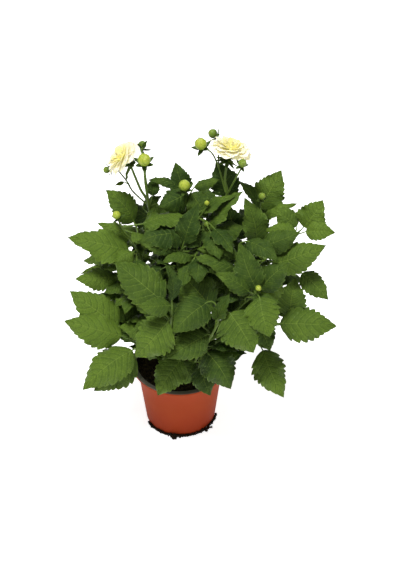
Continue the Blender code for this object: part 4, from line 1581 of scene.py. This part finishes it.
@dataclass
class FlowerHead:
    """An open bloom: rings of petals that are shorter and steeper inwards, round a tight heart."""

    bloom: Bloom
    look: Material
    size: float = 1.0
    core: float = 9.0
    heart: float = 7.4
    rings: tuple[PetalRow, ...] = rows(
        PetalRow,
        (10, 28.5, 18.5, 0.0, 5.0, 0.14),
        (8, 25.5, 18.0, 1.0, 16.0, 0.13, 0.5),
        (7, 20.5, 15.0, 1.8, 28.0, 0.12),
        (5, 14.5, 12.0, 2.0, 43.0, 0.02, 0.5),
        (4, 8.5, 8.0, 2.4, 60.0, -0.2))

    # half width of a petal at shares of its length
    marks = ((0.0, 0.26), (0.32, 0.84), (0.62, 1.0), (0.84, 0.8), (0.95, 0.42), (1.0, 0.06))
    stations = (0.0, 0.1, 0.2, 0.32, 0.44, 0.56, 0.68, 0.78, 0.86, 0.92, 0.97, 1.0)
    columns = (-1, -0.8, -0.5, -0.2, 0.0, 0.2, 0.5, 0.8, 1)

    def build(self) -> None:
        """Makes the bloom."""
        bm = bmesh.new()
        rng = random.Random(self.bloom.name)
        for number, row in enumerate(self.rings):
            for i in range(row.count):
                around = math.tau * (i + row.offset) / row.count
                self.add_petal(bm, row, 1 - number / (len(self.rings) - 1), around, rng)
        self.add_heart(bm)
        bm.transform(Matrix.Translation(Vector(self.bloom.centre) * MM) @ self.bloom.turn.to_4x4())
        finished(self.bloom.name + "_petals", bm, [self.look], [self.bloom.name])

    def outline(self, a: float) -> float:
        """Works out a petal's half width.

        Args:
            a: Share of its length.

        Returns:
            The half width as a share of the widest.
        """
        for (low, first), (high, second) in zip(self.marks, self.marks[1:]):
            if a <= high:
                return first + (second - first) * smooth_step(low, high, a)
        return 0.0

    def add_petal(self, bm: BMesh, row: PetalRow, outer: float, around: float,
                  rng: random.Random) -> None:
        """Adds one petal, a little different from the next.

        Args:
            bm: Mesh that takes it.
            row: Its ring's sizes.
            outer: From 0 for the inmost ring to 1 for the outmost.
            around: Its angle about the bloom's axis.
            rng: Draws its differences.
        """
        pitch = math.radians(row.slope)
        start = 0.72 * self.core * math.cos(pitch)
        stretch = rng.uniform(0.95, 1.03)
        tilt = rng.uniform(-0.06, 0.08)
        curl = rng.uniform(0.14, 0.38)
        twist = rng.uniform(-0.12, 0.12)
        turn = Matrix.Rotation(around + rng.uniform(-0.05, 0.05), 3, "Z")

        def surface(a: float, b: float) -> Vector:
            """A cupped blade with a drooping tip.

            Args:
                a: Share of the length.
                b: From -1 at one edge to 1 at the other.

            Returns:
                The place in millimetres, from the bloom's middle.
            """
            half = 0.5 * row.width * self.outline(a)
            run = (row.reach * stretch - start) * a
            height = row.lift + run * math.tan(pitch + tilt * a) - row.droop * row.reach * a * a
            lean = b * half * (0.2 + twist) * min(1, 3 * a)
            cup = curl * half * (b * b) * (1 - 0.35 * a) + 0.25 * math.sin(b * 9) * a * (1 - a)
            return turn @ Vector((start + run, b * half, height + lean + cup)) * self.size

        up = turn @ Vector((-math.sin(pitch), 0, math.cos(pitch)))
        notes = {"reach": lambda a, b, under: min(1.0, outer * (0.45 + 0.65 * a) + 0.05)}
        Sheet(self.stations, self.columns, surface, lambda a, b: 0.45 * (1 - 0.5 * b * b),
              up, notes).add(bm)

    def add_heart(self, bm: BMesh) -> None:
        """Adds the tight middle of the bloom and the base under its petals.

        Args:
            bm: Mesh that takes it.
        """
        reach = bm.verts.layers.float["reach"]
        for vert in bmesh.ops.create_uvsphere(bm, u_segments=28, v_segments=16, radius=1.0)["verts"]:
            x, y, z = vert.co
            wide = self.heart * (1 + 0.08 * math.sin(9 * math.atan2(y, x) + 5 * z))
            high = self.bloom.depth * (0.92 if z < 0 else 0.8)
            vert[reach] = 0.0
            vert.co = Vector((x * wide, y * wide, z * high)) * MM


# Pot and soil

@dataclass
class Pot:
    """A thin tapered pot with a flat lip turned outwards, red outside and near-black inside."""

    shell: Material
    lining: Material
    lip: Material
    height: float = 96.0
    lip_radius: float = 65.0
    skirt: float = 3.0
    mouth: float = 58.5
    base: float = 48.0
    wall: float = 1.2
    steps: int = 160
    drains: int = 5
    drain_radius: float = 5.0
    drain_reach: float = 30.0

    def wall_radius(self, z: float) -> float:
        """Outer radius of the wall at a height."""
        return self.base + (self.mouth - self.base) * z / self.height

    def profile(self) -> list[tuple[float, float]]:
        """Draws the half section.

        Returns:
            Its radii and heights, from the inner floor over the lip and down to the underside.
        """
        h, w = self.height, self.wall
        return [
            (0, w), (self.base - 2.6 * w, w), (self.wall_radius(2 * w) - w - 0.5, 1.5 * w),
            (self.wall_radius(3 * w) - w, 3 * w), (self.mouth - w - 1.2, h - 12),
            (self.mouth - w, h - 1.6), (self.mouth - w + 0.5, h - 0.4), (self.mouth + 0.2, h),
            (self.lip_radius - 0.6, h), (self.lip_radius - 0.1, h - 0.3), (self.lip_radius, h - 0.9),
            (self.lip_radius, h - self.skirt + 0.3), (self.lip_radius - 0.4, h - self.skirt),
            (self.lip_radius - w + 0.2, h - self.skirt + 0.1), (self.lip_radius - w, h - w - 0.4),
            (self.lip_radius - w - 0.6, h - w), (self.wall_radius(h - w) + 0.4, h - w),
            (self.wall_radius(h - 2 * w), h - 1.6 * w), (self.wall_radius(h * 0.6), h * 0.6),
            (self.wall_radius(4), 4), (self.wall_radius(1.4), 1.4), (self.base - 0.4, 0.4),
            (self.base - 1.2, 0), (0, 0),
        ]

    def look_at(self, place: Vector) -> int:
        """Picks the material of a face.

        Args:
            place: Its middle in millimetres.

        Returns:
            0 for the shell, 1 for the lining and 2 for the lip.
        """
        reach = place.xy.length
        if place.z > self.height - 1.7 and reach < self.mouth + 0.3:
            return 1
        if place.z > self.height - 0.25:
            return 2
        return int(reach < self.wall_radius(place.z) - self.wall * 0.5 and place.z > self.wall * 0.5)

    def drain_cutter(self) -> bpy.types.Object:
        """Makes the rods that cut the drain holes.

        Returns:
            The cutter, which the scene does not keep.
        """
        bm = bmesh.new()
        radius = self.drain_radius * MM
        for i in range(self.drains):
            away = heading_vector(360 * i / self.drains + 18, 0) * self.drain_reach
            bmesh.ops.create_cone(bm, cap_ends=True, segments=32, radius1=radius, radius2=radius,
                                  depth=6 * MM, matrix=Matrix.Translation(Vector((away.x, away.y, 1)) * MM))
        return placed("drain_cut", meshed("drain_cut", bm))

    def build(self) -> None:
        """Spins the profile, gives each face its finish and cuts the drain holes."""
        bm = bmesh.new()
        corners = [bm.verts.new((r * MM, 0, z * MM)) for r, z in self.profile()]
        edges = [bm.edges.new(pair) for pair in zip(corners, corners[1:])]
        bmesh.ops.spin(bm, geom=corners + edges, cent=(0, 0, 0), axis=(0, 0, 1), angle=math.tau,
                       steps=self.steps, use_merge=True)
        bmesh.ops.remove_doubles(bm, verts=bm.verts, dist=WELD)
        bmesh.ops.recalc_face_normals(bm, faces=bm.faces)
        for face in bm.faces:
            face.material_index = self.look_at(face.calc_center_median() / MM)
        looks = [self.shell, self.lining, self.lip]
        made = finished("pot_shell", bm, looks, ["pot"])
        cut = made.modifiers.new("drains", "BOOLEAN")
        cut.object = self.drain_cutter()
        cut.operation = "DIFFERENCE"
        graph = bpy.context.evaluated_depsgraph_get()
        mesh = bpy.data.meshes.new_from_object(made.evaluated_get(graph))
        bpy.data.objects.remove(cut.object)
        made.modifiers.clear()
        made.data = mesh


def add_lump(bm: BMesh, place: Vector, size: float, rng: random.Random,
             squash: float = 0.8) -> None:
    """Adds one ragged crumb.

    Args:
        bm: Mesh that takes it.
        place: Its middle in millimetres.
        size: Its mean radius.
        rng: Draws its shape.
        squash: Its height as a share of its width.
    """
    made = bmesh.ops.create_icosphere(bm, subdivisions=2, radius=1.0)["verts"]
    shift = Vector((rng.uniform(0, 99), rng.uniform(0, 99), rng.uniform(0, 99)))
    stretch = Vector((rng.uniform(0.75, 1.3), rng.uniform(0.75, 1.3), squash * rng.uniform(0.8, 1.2)))
    turn = Matrix.Rotation(rng.uniform(0, math.tau), 3, "Z")
    for vert in made:
        bump = 1 + 0.42 * noise.noise(vert.co * 1.7 + shift) + 0.16 * noise.noise(vert.co * 4.5 + shift)
        vert.co = (place + turn @ (vert.co * stretch) * size * bump) * MM


@dataclass
class Soil:
    """Potting soil, rough and crumbly on top, a little below the rim."""

    pot: Pot
    look: Material
    top: float = 87.0
    gap: float = 0.3
    rings: int = 44
    steps: int = 150
    lumps: int = 420

    def height(self, x: float, y: float, share: float) -> float:
        """Works out the height of the rough surface.

        Args:
            x: Place from side to side.
            y: Place from front to back.
            share: Its distance from the middle as a share of the rim's.

        Returns:
            The height in millimetres.
        """
        spot = Vector((x, y, 0)) * 0.11
        broad = 2.0 * noise.noise(spot)
        small = 1.1 * noise.noise(spot * 4.3) + 0.6 * noise.noise(spot * 11)
        return self.top + (broad + small) * (1 - share ** 6) - 0.3

    def build(self) -> None:
        """Makes the body of soil and the crumbs on it."""
        rim = self.pot.wall_radius(self.top) - self.pot.wall - self.gap
        foot = self.pot.wall_radius(3) - self.pot.wall - self.gap - 0.6
        lower = [(rim, self.top), (foot, 3.6), (foot - 1.5, 2.0), (0.0, 2.0)]
        bm = bmesh.new()
        for vert, row, turn in grid(bm, self.rings + len(lower) - 1, self.steps):
            angle = turn * math.tau
            if row < self.rings:
                share = row / self.rings
                x, y = rim * share * math.cos(angle), rim * share * math.sin(angle)
                vert.co = Vector((x, y, self.height(x, y, share))) * MM
            else:
                radius, z = lower[row - self.rings]
                vert.co = Vector((radius * math.cos(angle), radius * math.sin(angle), z)) * MM
        bmesh.ops.remove_doubles(bm, verts=bm.verts, dist=WELD)
        finished("soil_bed", bm, [self.look], ["soil"])
        bm = bmesh.new()
        rng = random.Random(21)
        for _ in range(self.lumps):
            reach = rim * math.sqrt(rng.uniform(0, 1)) * 0.96
            angle = rng.uniform(0, math.tau)
            size = 0.5 + 1.7 * rng.random() ** 2.5
            x, y = reach * math.cos(angle), reach * math.sin(angle)
            add_lump(bm, Vector((x, y, self.height(x, y, reach / rim) + size * 0.3)), size, rng)
        finished("soil_crumbs", bm, [self.look])


@dataclass
class FootCrumbs:
    """Crumbs of peat strewn round the front of the foot."""

    pot: Pot
    look: Material
    arc: tuple[float, float] = (206.0, 352.0)
    lump: float = 261.0
    count: int = 600
    lowest: float = 0.1

    def build(self) -> None:
        """Makes two close rows along the wall and a ragged scatter before them, heaped at the lump."""
        bm = bmesh.new()
        rng = random.Random(9)
        first, last = self.arc
        for i in range(self.count):
            row = i % 3
            heading = first + (last - first) * i / self.count + rng.uniform(-0.6, 0.6)
            if row == 2 and rng.random() < 0.4:
                heading = rng.gauss(self.lump, 4)
            heap = math.exp(-((heading - self.lump) / 7) ** 2)
            thick = 0.35 + 0.4 * smooth_step(280, 320, heading) + 0.65 * heap
            if row < 2:
                size, spread = rng.uniform(0.7, 1.5), 0.0
            else:
                size = (0.5 + 1.5 * rng.random() ** 2) * (0.6 + 0.5 * thick)
                spread = rng.random() ** 1.6
            reach = self.pot.base + 0.3 + size + spread * 6.5 * thick
            away = heading_vector(heading, 0) * reach
            z = size * 0.7 + rng.random() * (2.2 + 2.5 * (1 - spread) * thick) * (row != 1)
            add_lump(bm, Vector((away.x, away.y, z)), size, rng, 0.75)
        for vert in bm.verts:
            vert.co.z = max(vert.co.z, self.lowest * MM)
        finished("foot_crumbs", bm, [self.look], ["peat_crumbs"])


# Studio

@dataclass(frozen=True)
class Lamp:
    """A round soft light: its place and diameter in metres, and its power in watts."""

    name: str
    place: Place
    size: float
    power: float

    aim = (0.02, 0, 0.2)

    def build(self) -> None:
        """Makes the light, which faces the plant."""
        lamp = bpy.data.lights.new(self.name, "AREA")
        lamp.shape = "DISK"
        lamp.size = self.size
        lamp.energy = self.power
        made = placed(self.name, lamp)
        made.location = self.place
        made.rotation_euler = (Vector(self.aim) - Vector(self.place)).to_track_quat("-Z", "Y").to_euler()


@dataclass
class Studio:
    """A pale floor, soft light and the photograph's camera, in metres and degrees."""

    lamps: tuple[Lamp, ...] = rows(
        Lamp,
        ("key_light", (-0.35, -0.45, 2.5), 0.7, 68.0),
        ("fill_light", (1.4, -1.5, 1.4), 1.8, 8.0),
        ("back_light", (0.3, 1.5, 2.0), 1.6, 6.0))
    sky: float = 0.2
    floor: float = 6.0
    place: Place = (0.0271, -1.1475, 1.1579)
    down: float = 39.0
    # focal length in millimetres
    lens: float = 72.6

    def build(self) -> None:
        """Makes the floor, the lights and the camera."""
        bm = bmesh.new()
        bmesh.ops.create_grid(bm, x_segments=1, y_segments=1, size=self.floor)
        floor = placed("floor", meshed("floor", bm))
        floor.data.materials.append(FloorFinish().material())
        for lamp in self.lamps:
            lamp.build()
        world = bpy.data.worlds.new("studio")
        world.use_nodes = True
        sky = world.node_tree.nodes["Background"]
        sky.inputs["Color"].default_value = (1, 1, 1, 1)
        sky.inputs["Strength"].default_value = self.sky
        scene = bpy.context.scene
        scene.world = world
        scene.view_settings.view_transform = "Standard"
        lens = bpy.data.cameras.new("camera")
        lens.lens = self.lens
        scene.camera = placed("camera", lens)
        scene.camera.location = self.place
        scene.camera.rotation_euler = (math.radians(90 - self.down), 0, 0)


def main() -> None:
    """Builds every piece over the frame."""
    logging.basicConfig(level=logging.INFO, format="%(name)s: %(message)s")
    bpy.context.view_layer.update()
    Studio().build()
    growth = Growth(frame["nodes"])
    grown = growth.leaves()
    InnerLeaves(grown, growth.lines).grow()
    leaf_look, stem_look = LeafFinish().material(), StemFinish().material()
    petal_look = PetalFinish().material()
    bloom_sizes = {"bloom_left": 0.93}
    yellow = BudFinish("bud_yellow_green", (0.22, 0.32, 0.025), (0.11, 0.18, 0.012), (0.39, 0.43, 0.05))
    green = BudFinish("bud_green", (0.09, 0.15, 0.014), (0.03, 0.06, 0.006), (0.2, 0.28, 0.03))
    bud_looks = {BudColour.YELLOW: yellow.material(), BudColour.GREEN: green.material()}
    for shoot in SHOOTS:
        LeafyShoot(shoot, grown[shoot.name], leaf_look, stem_look).build()
        for bud in shoot.buds:
            BudBall(bud, bud_looks[bud.colour]).build()
        for bloom in shoot.blooms:
            FlowerHead(bloom, petal_look, bloom_sizes.get(bloom.name, 1.0)).build()
    shell = PotFinish("terracotta_plastic", (0.285, 0.042, 0.008), (0.235, 0.02, 0.004), 0.55)
    dust = (0.02, 0.014, 0.01)
    lining = PotFinish("dark_plastic", (0.006, 0.005, 0.004), (0.012, 0.01, 0.008), 0.6, dust)
    # The lip is dark plastic; its lighter grey is partly soil dust and partly a painted sheen.
    lip = PotFinish("grey_lip_dust_and_sheen", (0.19, 0.17, 0.145), (0.1, 0.088, 0.074), 0.5, dust)
    pot = Pot(shell.material(), lining.material(), lip.material())
    pot.build()
    peat = PeatFinish("peat").material()
    Soil(pot, peat).build()
    FootCrumbs(pot, PeatFinish("peat_crumb", brown=(0.05, 0.03, 0.017), flecks=0.05).material()).build()


if __name__ == "__main__":
    main()
